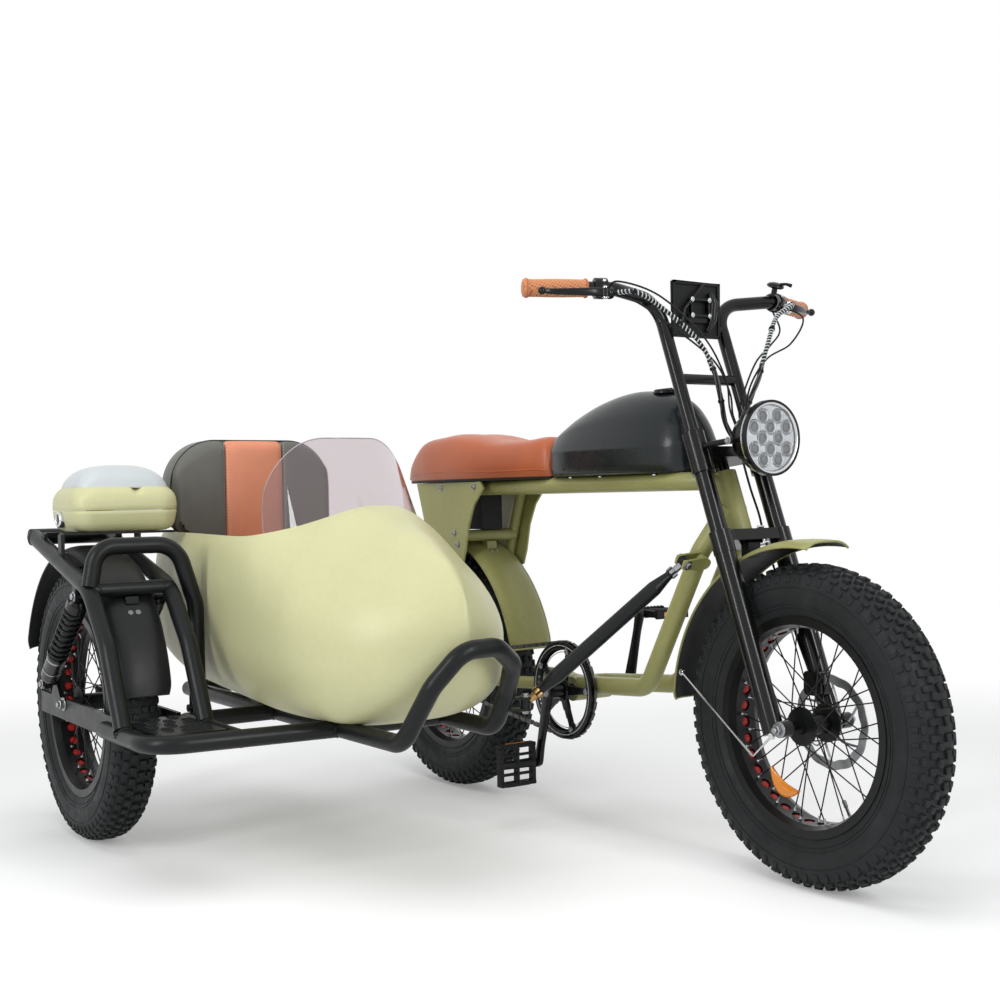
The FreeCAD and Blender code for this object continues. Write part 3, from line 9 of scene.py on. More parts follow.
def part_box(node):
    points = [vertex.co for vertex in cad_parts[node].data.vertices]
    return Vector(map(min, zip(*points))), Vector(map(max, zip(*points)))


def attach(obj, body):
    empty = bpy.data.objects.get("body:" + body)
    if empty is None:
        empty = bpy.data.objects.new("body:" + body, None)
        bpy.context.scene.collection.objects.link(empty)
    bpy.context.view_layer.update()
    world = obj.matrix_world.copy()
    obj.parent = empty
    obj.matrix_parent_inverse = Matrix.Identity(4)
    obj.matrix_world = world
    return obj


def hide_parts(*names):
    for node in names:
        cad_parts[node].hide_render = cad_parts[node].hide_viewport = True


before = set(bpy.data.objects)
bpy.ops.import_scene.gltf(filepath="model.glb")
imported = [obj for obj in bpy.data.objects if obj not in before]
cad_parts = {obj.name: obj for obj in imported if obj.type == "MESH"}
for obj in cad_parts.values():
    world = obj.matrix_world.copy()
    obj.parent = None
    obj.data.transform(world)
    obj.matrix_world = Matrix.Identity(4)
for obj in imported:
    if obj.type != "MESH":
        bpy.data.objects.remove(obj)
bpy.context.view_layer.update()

# The places below are in millimetres from the rear axle, as in the part's source:
# x forward, y to the left, z up from the floor.
tyre_low, tyre_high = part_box("rear_tyre")
SHIFT = Vector(((tyre_low.x + tyre_high.x) / 2, (tyre_low.y + tyre_high.y) / 2, 0))
TAU = 2 * pi
X_AXIS = Vector((1, 0, 0))
Y_AXIS = Vector((0, 1, 0))
Z_AXIS = Vector((0, 0, 1))


def metres(p):
    """A place in the scene for a place in millimetres."""
    return Vector(p) / 1000 + SHIFT


# Camera at the photograph's place
CAMERA_AT = (3099.4, -1943.9, 731.6)
CAMERA_YAW = radians(146.079)
CAMERA_PITCH = radians(0.076)
CAMERA_ROLL = radians(-1.083)
CAMERA_LENS = 50.97
SENSOR = 36.0


def make_camera():
    cy, sy = cos(CAMERA_YAW), sin(CAMERA_YAW)
    cp, sp = cos(CAMERA_PITCH), sin(CAMERA_PITCH)
    cr, sr = cos(CAMERA_ROLL), sin(CAMERA_ROLL)
    ahead = Vector((cy * cp, sy * cp, -sp))
    side = Vector((sy, -cy, 0))
    up = side.cross(ahead)
    right = side * cr + up * sr
    top = up * cr - side * sr
    data = bpy.data.cameras.new("camera")
    data.sensor_width = SENSOR
    data.sensor_fit = "HORIZONTAL"
    data.lens = CAMERA_LENS
    data.clip_start = 0.05
    data.clip_end = 100
    cam = bpy.data.objects.new("camera", data)
    bpy.context.scene.collection.objects.link(cam)
    turn = Matrix((right, top, -ahead)).transposed()
    cam.matrix_world = Matrix.Translation(metres(CAMERA_AT)) @ turn.to_4x4()
    bpy.context.scene.camera = cam


make_camera()


# Materials

def linear(rgb):
    """A colour of 0 to 255 as the four numbers that a node takes."""
    out = []
    for c in rgb:
        c = c / 255
        out.append(c / 12.92 if c <= 0.04045 else ((c + 0.055) / 1.055) ** 2.4)
    return (*out, 1.0)


def add_node(tree, kind, links=(), values=None, operation=None):
    """A new node: sockets are linked to its inputs, and values set on them, both by name or number."""
    node = tree.nodes.new("ShaderNode" + kind)
    if operation:
        node.operation = operation
    for key, value in (values or {}).items():
        node.inputs[key].default_value = value
    for key, socket in links.items() if isinstance(links, dict) else enumerate(links):
        tree.links.new(socket, node.inputs[key])
    return node


class Nodes:
    """A material's node tree, with short calls for the nodes used here."""

    def __init__(self, name):
        self.mat = bpy.data.materials.new(name)
        self.mat.use_nodes = True
        self.tree = self.mat.node_tree
        self.shader = self.tree.nodes["Principled BSDF"]
        self.coords = self.add("TexCoord").outputs["Object"]

    def add(self, *given, **named):
        return add_node(self.tree, *given, **named)

    def noise(self, scale, detail=4.0, rough=0.55, coords=None, distort=0.0):
        inputs = {"Scale": scale, "Detail": detail, "Roughness": rough, "Distortion": distort}
        return self.add("TexNoise", {"Vector": coords or self.coords}, inputs).outputs["Fac"]

    def voronoi(self, scale, feature):
        n = self.add("TexVoronoi", {"Vector": self.coords}, {"Scale": scale})
        n.feature = feature
        return n.outputs["Distance"]

    def ramp(self, fac, stops):
        n = self.add("ValToRGB", [fac])
        while len(n.color_ramp.elements) < len(stops):
            n.color_ramp.elements.new(0.5)
        for element, (at, colour) in zip(n.color_ramp.elements, stops):
            element.position = at
            element.color = colour
        return n.outputs["Color"]

    def span(self, value, low, high, to_low, to_high):
        return self.add("MapRange", {"Value": value}, {"From Min": low, "From Max": high, "To Min": to_low,
                                                       "To Max": to_high}).outputs["Result"]

    def math(self, kind, a, b):
        """b is a number or a socket."""
        if isinstance(b, float):
            return self.add("Math", [a], {1: b}, kind).outputs[0]
        return self.add("Math", [a, b], operation=kind).outputs[0]

    def mapped(self, scale=(1, 1, 1), turn=(0, 0, 0)):
        return self.add("Mapping", {"Vector": self.coords},
                        {"Scale": scale, "Rotation": turn}).outputs["Vector"]

    def bump(self, height, strength, distance=0.001, below=None):
        links = {"Height": height}
        if below is not None:
            links["Normal"] = below
        return self.add("Bump", links, {"Strength": strength, "Distance": distance}).outputs["Normal"]

    def surface(self, colour, rough, normal, **values):
        """Links the three sockets to the shader, and sets the values named on it, with _ for a space."""
        for key, socket in (("Base Color", colour), ("Roughness", rough), ("Normal", normal)):
            if socket is not None:
                self.tree.links.new(socket, self.shader.inputs[key])
        for key, value in values.items():
            self.shader.inputs[key.replace("_", " ")].default_value = value
        return self.mat


def shade(rgb, k):
    """The colour made darker or lighter by the factor k."""
    return tuple(min(255, max(0, c * k)) for c in rgb)


def finish_of(name, rgb, rough, metal=0.0, coat=0.0, grain=(900, 0.06), spread=0.06, rough_spread=0.05,
              spec=0.5, coat_rough=0.15):
    """A painted, moulded or metal finish: cloudy colour, a fine grain, and roughness that varies."""
    n = Nodes(name)
    cloud = 3.0
    both = n.math("ADD", n.math("MULTIPLY", n.noise(cloud, 3.0), 0.7),
                  n.math("MULTIPLY", n.noise(cloud * 26, 5.0), 0.3))
    colour = n.ramp(both, [(0.3, linear(shade(rgb, 1 - spread))), (0.7, linear(shade(rgb, 1 + spread)))])
    rough_map = n.span(n.noise(cloud * 9, 4.0), 0.3, 0.7, rough - rough_spread, rough + rough_spread)
    normal = n.bump(n.noise(grain[0], 2.0), grain[1], 0.0006)
    return n.surface(colour, rough_map, normal, Metallic=metal, Coat_Weight=coat, Coat_Roughness=coat_rough,
                     Specular_IOR_Level=spec)


def leather(name, rgb, rough, pore=420.0, depth=0.25, spread=0.10):
    """Leather: pebbled pores, soft creases and colour that wanders."""
    n = Nodes(name)
    colour = n.ramp(n.noise(5.0, 5.0, 0.6), [(0.28, linear(shade(rgb, 1 - spread))), (0.5, linear(rgb)),
                                             (0.75, linear(shade(rgb, 1 + spread)))])
    cells = n.voronoi(pore, "SMOOTH_F1")
    creases = n.bump(n.noise(30.0, 6.0, 0.65, distort=0.6), depth * 0.5, 0.002)
    return n.surface(colour, n.span(cells, 0.0, 0.8, rough + 0.07, rough - 0.06),
                     n.bump(cells, depth, 0.0006, below=creases), Coat_Weight=0.12, Coat_Roughness=0.3)


def rubber():
    n = Nodes("rubber")
    dust = n.ramp(n.noise(14.0, 6.0, 0.65), [(0.3, linear((24, 27, 28))), (0.6, linear((33, 36, 37))),
                                             (0.8, linear((48, 52, 52)))])
    lumps = n.bump(n.noise(90.0, 3.0), 0.12, 0.002)
    return n.surface(dust, n.span(n.noise(60.0, 4.0), 0.3, 0.7, 0.50, 0.68),
                     n.bump(n.noise(1600.0, 2.0), 0.10, 0.0005, below=lumps), Specular_IOR_Level=0.24)


def woven_grip():
    """Leather grip wrapped in a herringbone of narrow strips."""
    n = Nodes("grip_leather")
    waves = []
    for way in (1, -1):
        wave = n.add("TexWave", {"Vector": n.mapped(turn=(0.8 * way, 0.0, 0.6 * way))},
                     {"Scale": 60.0, "Distortion": 0.4})
        wave.bands_direction = "Y"
        waves.append(wave.outputs["Fac"])
    weave = n.math("MAXIMUM", *waves)
    colour = n.ramp(weave, [(0.2, linear((168, 96, 58))), (0.7, linear((208, 138, 92)))])
    return n.surface(colour, n.span(weave, 0, 1, 0.62, 0.45), n.bump(weave, 0.6, 0.0012))


def brushed(name, rgb, rough):
    """Bare metal with fine streaks along one way."""
    n = Nodes(name)
    streak = n.noise(6.0, 5.0, coords=n.mapped(scale=(4, 400, 4)))
    colour = n.ramp(streak, [(0.3, linear(shade(rgb, 0.88))), (0.7, linear(shade(rgb, 1.08)))])
    return n.surface(colour, n.span(streak, 0.3, 0.7, rough, rough + 0.12),
                     n.bump(streak, 0.08, 0.0004), Metallic=1.0)


def clear_sheet(name, rgb, rough):
    """A clear plastic with a faint smear."""
    n = Nodes(name)
    smear = n.noise(7.0, 4.0)
    colour = n.ramp(smear, [(0.3, linear(shade(rgb, 0.99))), (0.7, linear(rgb))])
    return n.surface(colour, n.span(smear, 0.3, 0.7, rough, rough + 0.03), None,
                     Transmission_Weight=0.96, IOR=1.49)


# name: colour, roughness and what differs from finish_of's own values
FINISHES = {
    "olive": ((156, 155, 98), 0.40, {"coat": 0.12, "grain": (700, 0.05), "coat_rough": 0.3, "spec": 0.4}),
    "pale_green": ((203, 202, 156), 0.42, {"coat": 0.12, "grain": (500, 0.05), "spread": 0.03,
                                           "coat_rough": 0.3, "spec": 0.4}),
    "black_satin": ((20, 22, 23), 0.34, {"grain": (1500, 0.14), "spread": 0.12, "spec": 0.24}),
    "guard_black": ((27, 28, 29), 0.42, {"grain": (1300, 0.06), "spread": 0.10, "spec": 0.28}),
    "fork_black": ((11, 12, 13), 0.2, {"coat": 0.05, "grain": (900, 0.03), "spread": 0.12, "spec": 0.28,
                                       "coat_rough": 0.1}),
    "black_gloss": ((12, 13, 14), 0.24, {"grain": (900, 0.04), "spread": 0.15, "spec": 0.28}),
    "black_plastic": ((19, 20, 21), 0.5, {"grain": (1300, 0.22), "spread": 0.15, "spec": 0.22}),
    "tank_black": ((22, 28, 30), 0.27, {"coat": 0.05, "grain": (800, 0.03), "coat_rough": 0.2, "spec": 0.34}),
    "rim_black": ((16, 17, 18), 0.32, {"grain": (900, 0.05), "spread": 0.15, "spec": 0.26}),
    "red_tape": ((205, 42, 40), 0.4, {"grain": (1600, 0.12), "spread": 0.08}),
    "amber": ((244, 140, 18), 0.18, {"coat": 0.6, "grain": (1200, 0.25), "spread": 0.10}),
    "chrome": ((212, 214, 216), 0.14, {"metal": 1.0, "grain": (500, 0.02), "spread": 0.03,
                                       "rough_spread": 0.04}),
    # a pale opaque finish for the windshield's edge: painted highlight
    "screen_edge_highlight": ((196, 188, 190), 0.2, {"grain": (900, 0.02)}),
    "mirror_cup": ((232, 234, 236), 0.24, {"metal": 0.7, "grain": (400, 0.05), "spread": 0.04}),
    "led_chip": ((128, 131, 133), 0.12, {"coat": 0.8, "grain": (900, 0.03), "spread": 0.10}),
}
MAT = {name: finish_of(name, rgb, rough, **rest) for name, (rgb, rough, rest) in FINISHES.items()}
for name, rgb in (("steel", (158, 160, 163)), ("spoke", (96, 98, 101)), ("brass", (176, 140, 86))):
    MAT[name] = brushed(name, rgb, 0.30)
MAT["chain_steel"] = brushed("chain_steel", (92, 92, 90), 0.34)
MAT["pad_grey"] = leather("pad_grey", (198, 204, 206), 0.42, pore=500, depth=0.08, spread=0.02)
MAT["tan_leather"] = leather("tan_leather", (178, 92, 52), 0.40, spread=0.07)
MAT["stripe_leather"] = leather("stripe_leather", (218, 140, 106), 0.46, spread=0.05)
MAT["grey_leather"] = leather("grey_leather", (96, 96, 90), 0.52, pore=360, depth=0.35, spread=0.08)
MAT["grip"] = woven_grip()
MAT["rubber"] = rubber()
MAT["acrylic"] = clear_sheet("acrylic", (214, 204, 207), 0.02)
MAT["lens"] = clear_sheet("lens", (246, 248, 250), 0.03)

NODE_MATERIALS = {
    "olive": "bike_frame side_plates",
    "black_satin": ("sidecar_chassis wheel_cage box_rack swingarm front_strut lower_arms "
                    "seat_bench step_plate"),
    "fork_black": "fork handlebar",
    "black_gloss": "headlight",
    "black_plastic": "controller_box",
    "rim_black": "front_rim rear_rim sidecar_rim front_hub rear_hub_motor sidecar_hub",
    "chain_steel": "chain",
    "lens": "headlight_lens",
}
for material, names in NODE_MATERIALS.items():
    for name in names.split():
        node_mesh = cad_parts[name].data
        node_mesh.materials.clear()
        node_mesh.materials.append(MAT[material])


# Mesh building

class Form:
    """Collects points and faces in millimetres, then makes one piece of them."""

    def __init__(self):
        self.v = []
        self.f = []

    def grid(self, rows, round_u=False, round_v=False, caps=False):
        """Rows of points, each joined to the next; round_u closes the rows, round_v joins last to first."""
        base = len(self.v)
        n = len(rows[0])
        for row in rows:
            self.v.extend(Vector(p) for p in row)
        m = len(rows)
        for i in range(m if round_v else m - 1):
            here, there = base + i * n, base + (i + 1) % m * n
            for j in range(n if round_u else n - 1):
                k = (j + 1) % n
                self.f.append((here + j, here + k, there + k, there + j))
        if caps:
            self.f.append(tuple(base + j for j in reversed(range(n))))
            self.f.append(tuple(base + (m - 1) * n + j for j in range(n)))

    def lathe(self, profile, centre, axis, n=48, hollow=False):
        """profile holds (along, radius) pairs about the axis; hollow joins its last pair to its first."""
        q = Z_AXIS.rotation_difference(Vector(axis).normalized())
        rows = [[Vector(centre) + q @ Vector((max(r, 1e-3) * cos(a), max(r, 1e-3) * sin(a), along))
                 for a in (TAU * k / n for k in range(n))] for along, r in profile]
        self.grid(rows, round_u=True, round_v=hollow, caps=not hollow)

    def tube(self, points, radius, n=12, closed=False):
        """A round tube along the points; radius is one number or one for each point."""
        pts = [Vector(p) for p in points]
        count = len(pts)
        radii = radius if isinstance(radius, (list, tuple)) else [radius] * count
        rows = []
        normal = None
        for i in range(count):
            if closed:
                ahead = pts[(i + 1) % count] - pts[i - 1]
            else:
                ahead = pts[min(i + 1, count - 1)] - pts[max(i - 1, 0)]
            ahead.normalize()
            if normal is None:
                normal = ahead.orthogonal().normalized()
            else:
                normal = (normal - ahead * normal.dot(ahead)).normalized()
            other = ahead.cross(normal)
            rows.append([pts[i] + (normal * cos(TAU * k / n) + other * sin(TAU * k / n)) * radii[i]
                         for k in range(n)])
        self.grid(rows, round_u=True, round_v=closed, caps=not closed)

    def box(self, centre, size, turn=None, taper=1.0):
        """A block; taper is the size of its top as a share of its base."""
        q = turn or Quaternion()
        base = len(self.v)
        for sz in (-0.5, 0.5):
            k = 1.0 if sz < 0 else taper
            for sx, sy in ((-0.5, -0.5), (0.5, -0.5), (0.5, 0.5), (-0.5, 0.5)):
                self.v.append(Vector(centre) + q @ Vector((sx * size[0] * k, sy * size[1] * k, sz * size[2])))
        for face in ((3, 2, 1, 0), (4, 5, 6, 7), (0, 1, 5, 4), (1, 2, 6, 5), (2, 3, 7, 6), (3, 0, 4, 7)):
            self.f.append(tuple(base + i for i in face))

    def bolt(self, at, axis, r=6.0, height=5.0, sides=6):
        """A fastener's head on its washer: six sides for a hex head, many for a domed socket head."""
        self.lathe([(0, r * 1.5), (r * 0.2, r * 1.5), (r * 0.25, r * 1.35)], at, axis, 24)
        if sides == 6:
            self.lathe([(r * 0.2, r), (height * 0.85, r), (height, r * 0.86)], at, axis, 6)
        else:
            self.lathe([(r * 0.2, r), (height * 0.7, r * 0.96), (height, r * 0.7), (height, r * 0.42),
                        (height * 0.6, r * 0.40)], at, axis, 20)

    def build(self, name, material, body, slot=None, smooth=35.0, bevel=0.0, segments=2, node=None):
        """Makes the piece, lets it ride its body, and replaces the node that is named."""
        mesh = bpy.data.meshes.new(name)
        mesh.from_pydata([metres(p) for p in self.v], [], self.f)
        mesh.validate()
        bm = bmesh.new()
        bm.from_mesh(mesh)
        bmesh.ops.remove_doubles(bm, verts=bm.verts, dist=1e-6)
        bmesh.ops.recalc_face_normals(bm, faces=bm.faces)
        bm.to_mesh(mesh)
        bm.free()
        obj = bpy.data.objects.new(name, mesh)
        bpy.context.scene.collection.objects.link(obj)
        mesh.materials.append(MAT[material])
        if bevel:
            mod = obj.modifiers.new("bevel", "BEVEL")
            mod.width = bevel / 1000
            mod.segments = segments
            mod.limit_method = "ANGLE"
            mod.angle_limit = radians(40)
        if smooth >= 180:
            mesh.shade_smooth()
        else:
            mesh.set_sharp_from_angle(angle=radians(smooth))
            for p in mesh.polygons:
                p.use_smooth = True
        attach(obj, body)
        if node:
            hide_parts(node)
        return obj


def between(p, q, r, s, t):
    """The place at share t of the way from q to r, on a smooth line through all four."""
    return 0.5 * (2 * q + (r - p) * t + (2 * p - 5 * q + 4 * r - s) * t * t
                  + (3 * q - p - 3 * r + s) * t ** 3)


def curve_points(points, per=8):
    """Points along a smooth line through the given ones."""
    pts = [Vector(p) for p in points]
    ends = [pts[0] * 2 - pts[1]] + pts + [pts[-1] * 2 - pts[-2]]
    return [between(*ends[i:i + 4], k / per) for i in range(len(pts) - 1) for k in range(per)] + [pts[-1]]


def even_rows(rows, per):
    """Smooth lines through rows of numbers."""
    padded = [rows[0], *rows, rows[-1]]
    out = [[between(*numbers, k / per) for numbers in zip(*padded[i:i + 4])]
           for i in range(len(rows) - 1) for k in range(per)]
    return out + [list(rows[-1])]


def signed_power(value, power):
    """The size of value to a power, with the sign of value."""
    return copysign(abs(value) ** power, value)


# Driving sizes shared with the part's source, in millimetres

TYRE_R = 300.0
CROWN_R = 293.6
RIM_INNER = 182.0
WHEELBASE = 1240.0
SIDE_TRACK = 950.0
FRONT_AXLE = Vector((WHEELBASE, 0, TYRE_R))
REAR_AXLE = Vector((0, 0, TYRE_R))
SIDE_AXLE = Vector((0, -SIDE_TRACK, TYRE_R))
WHEELS = (("front", FRONT_AXLE, "front_wheel"), ("rear", REAR_AXLE, "rear_wheel"),
          ("sidecar", SIDE_AXLE, "sidecar_wheel"))
TUB_Y = -555.0


def around_y(centre, angle, r, y=0.0):
    """A point at radius r about a wheel's axle; angle runs up from the forward line."""
    return centre + Vector((r * cos(angle), y, r * sin(angle)))


def hoop(centre, r, y, count=96):
    """Points all round an axle."""
    return [around_y(centre, TAU * k / count, r, y) for k in range(count)]


def frame_at(angle, lean=0.0):
    """Turns a block's x along the tread and its z away from the axle; lean tips it to the side."""
    turn = Quaternion(Y_AXIS, pi / 2 - angle)
    return turn @ Quaternion(X_AXIS, lean)


# Tyres

KNOB_PITCHES = 66
TREAD_COLUMNS = (
    # y, radius of the top, length, width, height, lean in degrees, phase
    (9.5, 300.0, 17.0, 14.5, 7.5, 0.0, 0.0),
    (26.0, 297.2, 15.5, 12.5, 8.0, -13.0, 0.5),
    (40.5, 288.0, 18.5, 10.5, 9.5, -36.0, 0.1),
)


def tyre_profile():
    """Half width and radius round the carcass, from one bead to the other."""
    side = [(36.5, 201.0), (39.0, 206.0), (42.6, 211.0), (44.6, 214.0), (45.2, 217.0), (47.6, 224.0),
            (49.4, 234.0), (50.0, 243.0), (49.6, 252.0), (48.4, 261.0), (46.6, 269.0), (43.6, 277.5),
            (38.5, 284.6), (31.0, 289.4), (21.0, 292.4), (10.0, CROWN_R)]
    return [(-y, r) for y, r in side] + [(0.0, CROWN_R + 0.2)] + [(y, r) for y, r in reversed(side)]


def make_tyre(label, centre, body):
    form = Form()
    form.lathe(tyre_profile(), centre, Y_AXIS, 132, hollow=True)
    for i in range(KNOB_PITCHES):
        for column, (y, top, length, width, height, lean, phase) in enumerate(TREAD_COLUMNS):
            for side in (-1, 1):
                shift = phase + (0.5 if side > 0 and column == 0 else 0.0)
                angle = TAU * (i + shift) / KNOB_PITCHES
                long = length * (1.0 if (i + column) % 2 else 0.84)
                turn = frame_at(angle, radians(lean * side))
                at = around_y(centre, angle, top, side * y) - turn @ Z_AXIS * (height / 2)
                skew = Quaternion(Z_AXIS, radians(9.0 * side if column == 0 else 0))
                form.box(at, (long, width, height), turn @ skew, 0.82)
        for side in (-1, 1):
            angle = TAU * (i + 0.1) / KNOB_PITCHES
            turn = frame_at(angle, radians(-76.0 * side))
            at = around_y(centre, angle, 272.5, side * 46.2)
            form.box(at, (11.5 if i % 2 else 8.0, 15.0, 3.6), turn, 0.8)
    form.build(label + "_tread", "rubber", body, "tyre", smooth=38, bevel=1.1,
               segments=1, node=label + "_tyre")
    ribs = Form()
    for side in (-1, 1):
        for r, y in ((219.0, 46.4), (226.0, 48.2), (258.0, 49.2)):
            ribs.tube(hoop(centre, r, side * y), 0.9, 6, closed=True)
    ribs.build(label + "_tyre_ribs", "rubber", body, "tyre", smooth=60)


for wheel_label, wheel_centre, wheel_body in WHEELS:
    make_tyre(wheel_label, wheel_centre, wheel_body)


# Rims, hubs and spokes

HOLES = 36


def make_rim_trim(label, centre, body):
    tape = Form()
    for i in range(HOLES):
        angle = TAU * (i + 0.5) / HOLES
        out = around_y(Vector(), angle, 1.0)
        tape.lathe([(0.0, 10.3), (-1.2, 8.6), (-1.9, 5.0), (-2.1, 0.0)],
                   centre + out * (RIM_INNER + 4.2), out, 18)
    tape.build(label + "_rim_tape", "red_tape", body, smooth=50)
    nipples = Form()
    for i in range(HOLES):
        angle = TAU * i / HOLES
        side = 1 if i % 2 else -1
        out = around_y(Vector(), angle, 1.0)
        at = around_y(centre, angle, RIM_INNER - 11.5, side * 8.6)
        nipples.lathe([(0, 1.6), (9.5, 2.2), (11.0, 3.6), (12.5, 3.6)], at, out + Y_AXIS * (-0.05 * side), 10)
    angle = radians(-62)
    nipples.lathe([(0, 3.0), (-22, 3.0), (-23, 4.2), (-34, 4.2), (-36, 3.2)],
                  around_y(centre, angle, RIM_INNER), around_y(Vector(), angle, 1.0), 14)
    nipples.build(label + "_nipples", "steel", body, smooth=40)


def make_axle_nuts(label, centre, body, reach):
    nuts = Form()
    for side in (-1, 1):
        at = centre + Y_AXIS * (side * reach)
        nuts.lathe([(0, 15.0), (2.0, 15.0), (2.4, 14.0)], at, Y_AXIS * side, 28)
        nuts.lathe([(2.4, 10.5), (9.6, 10.5), (11.0, 9.2)], at, Y_AXIS * side, 6)
        nuts.lathe([(11.0, 6.0), (15.0, 6.0), (16.4, 4.6)], at, Y_AXIS * side, 20)
    nuts.build(label + "_axle_nuts", "steel", body, smooth=30, bevel=0.5)


for wheel_label, wheel_centre, wheel_body in WHEELS:
    make_rim_trim(wheel_label, wheel_centre, wheel_body)
make_axle_nuts("front", FRONT_AXLE, "steering", 89.9)
make_axle_nuts("rear", REAR_AXLE, "root", 92.2)
make_axle_nuts("sidecar", SIDE_AXLE, "root", 66.4)


def make_disc(label, centre, y, body, node):
    """A wavy slotted brake disc on its spider, with the bolts that hold it."""
    form = Form()
    outer, inner = ([(angle, r + wave * cos(12 * angle)) for angle in (TAU * k / 216 for k in range(216))]
                    for r, wave in ((89.0, 1.0), (72.0, 1.6)))
    rows = [[around_y(centre, a, r, y + dy) for a, r in line]
            for line, dy in ((outer, 0), (outer, 2.0), (inner, 2.0), (inner, 0))]
    form.grid(rows, round_u=True, round_v=True)
    for i in range(6):
        a = TAU * i / 6
        path = [around_y(centre, a + turn, r, y + 1.0)
                for turn, r in ((0.0, 24), (0.16, 42), (0.40, 60), (0.52, 74))]
        form.tube(curve_points(path, 5), 2.4, 8)
    form.lathe([(0, 27.0), (2.0, 27.0)], centre + Y_AXIS * y, Y_AXIS, 40)
    for i in range(72):
        a = TAU * (i + 0.5) / 72
        if i % 3 == 0:
            continue
        form.box(around_y(centre, a, 80.5 + 3.5 * (i % 3 - 1.5), y + 2.1), (2.4, 0.5, 7.0), frame_at(a))
    form.build(label + "_disc", "steel", body, smooth=30, node=node)
    bolts = Form()
    for i in range(6):
        at = around_y(centre, TAU * (i + 0.5) / 6, 20.0, y + 2.0)
        bolts.bolt(at, Y_AXIS, 3.4, 3.0, sides=20)
    bolts.build(label + "_disc_bolts", "black_gloss", body, smooth=40)


make_disc("front_brake", FRONT_AXLE, 44.0, "front_wheel", "front_brake_disc")
make_disc("rear_brake", REAR_AXLE, 52.0, "rear_wheel", "rear_brake_disc")


def make_spoke_reflector():
    """The leaf-shaped orange reflector clipped between the front spokes."""
    form = Form()
    mid = radians(-118)
    rows = []
    for k in range(15):
        t = k / 14
        wide = 15.0 * sin(pi * min(max(t, 0.03), 0.97)) ** 0.7
        angle = mid + (t - 0.5) * 0.62
        r = 128.0 + 13.0 * sin(pi * t)
        rows.append([around_y(FRONT_AXLE, angle, r + wide * cos(a), -20.0 - 4.2 * sin(a))
                     for a in [TAU * j / 16 for j in range(16)]])
    form.grid(rows, round_u=True, caps=True)
    form.build("spoke_reflector", "amber", "front_wheel", smooth=50)


make_spoke_reflector()


# Seat

def cross_line(half, base, top, profile):
    """A flat-bottomed outline across x, from profile shares of the half width and of the height."""
    rise = curve_points([(-half * w, base + (top - base) * h, 0) for w, h in profile], 6)
    left = [(p.x, p.y) for p in rise]
    right = [(-y, z) for y, z in reversed(left[:-1])]
    line = left + right
    floor = [(line[-1][0] + (line[0][0] - line[-1][0]) * k / 12, base) for k in range(1, 12)]
    return line + floor


SEAT_BASE = 776.8
SEAT_ROWS = [(-114, 56, 795), (-100, 73, 817), (-74, 86, 842), (-42, 95, 866), (-6, 101, 884),
             (44, 106, 888), (125, 106, 892.5), (200, 104, 885.5), (300, 96, 868.5), (400, 84, 866.5),
             (462, 76, 870.5), (488, 69, 863), (501, 60, 846)]
SEAT_PROFILE = [(0.93, 0.0), (0.985, 0.16), (1.0, 0.40), (0.955, 0.68), (0.82, 0.89), (0.55, 0.985),
                (0.27, 1.0), (0.0, 0.992)]


def make_seat():
    """The bench seat's cover, the welt round its foot and the dark edge of its base."""
    form = Form()
    lines = curve_points(SEAT_ROWS, 7)
    form.grid([[(x, y, z) for y, z in cross_line(half, SEAT_BASE, top, SEAT_PROFILE)]
               for x, half, top in lines], round_u=True, caps=True)
    piece = form.build("seat_cover", "tan_leather", "root", "tan_leather", smooth=180, node="seat")
    welt = Form()
    for side in (-1, 1):
        path = [(x, side * (half * 0.988 + 0.4), SEAT_BASE + (top - SEAT_BASE) * 0.20)
                for x, half, top in lines[3:-2:2]]
        welt.tube(curve_points(path, 2), 1.5, 8)
    x, half, top = lines[3]
    high = SEAT_BASE + (top - SEAT_BASE) * 0.2
    low = SEAT_BASE + 8
    welt.tube(curve_points([(x, -half, high), (-112, -56, low), (-114.6, 0, low), (-112, 56, low),
                            (x, half, high)], 6), 1.5, 8)
    welt.build("seat_welt", "tan_leather", "root", "tan_leather", smooth=60)
    base = Form()
    outline = [(x, side * half * 0.955) for side, order in ((-1, lines), (1, lines[::-1]))
               for x, half, _ in order]
    base.grid([[(x, y, z) for x, y in outline] for z in (SEAT_BASE - 3.2, SEAT_BASE + 2.5)], round_u=True,
              caps=True)
    base.build("seat_base_edge", "black_plastic", "root", smooth=40)


make_seat()


# Tank

TANK_BASE = 776.8
TANK_CREASE = 833.0
TANK_ROWS = [
    # x, half width at the crease, half width at the shoulder, top
    (503.6, 42, 30, 846), (508, 58, 44, 862), (518, 70, 57, 877), (545, 83, 68, 893),
    (600, 93, 76, 919), (672, 97.4, 79, 941), (752, 97.6, 78, 952.5), (832, 91, 72, 947.5),
    (892, 77, 60, 931), (922, 64, 49, 905), (938, 50, 37, 878), (945.6, 38, 27, 850),
]


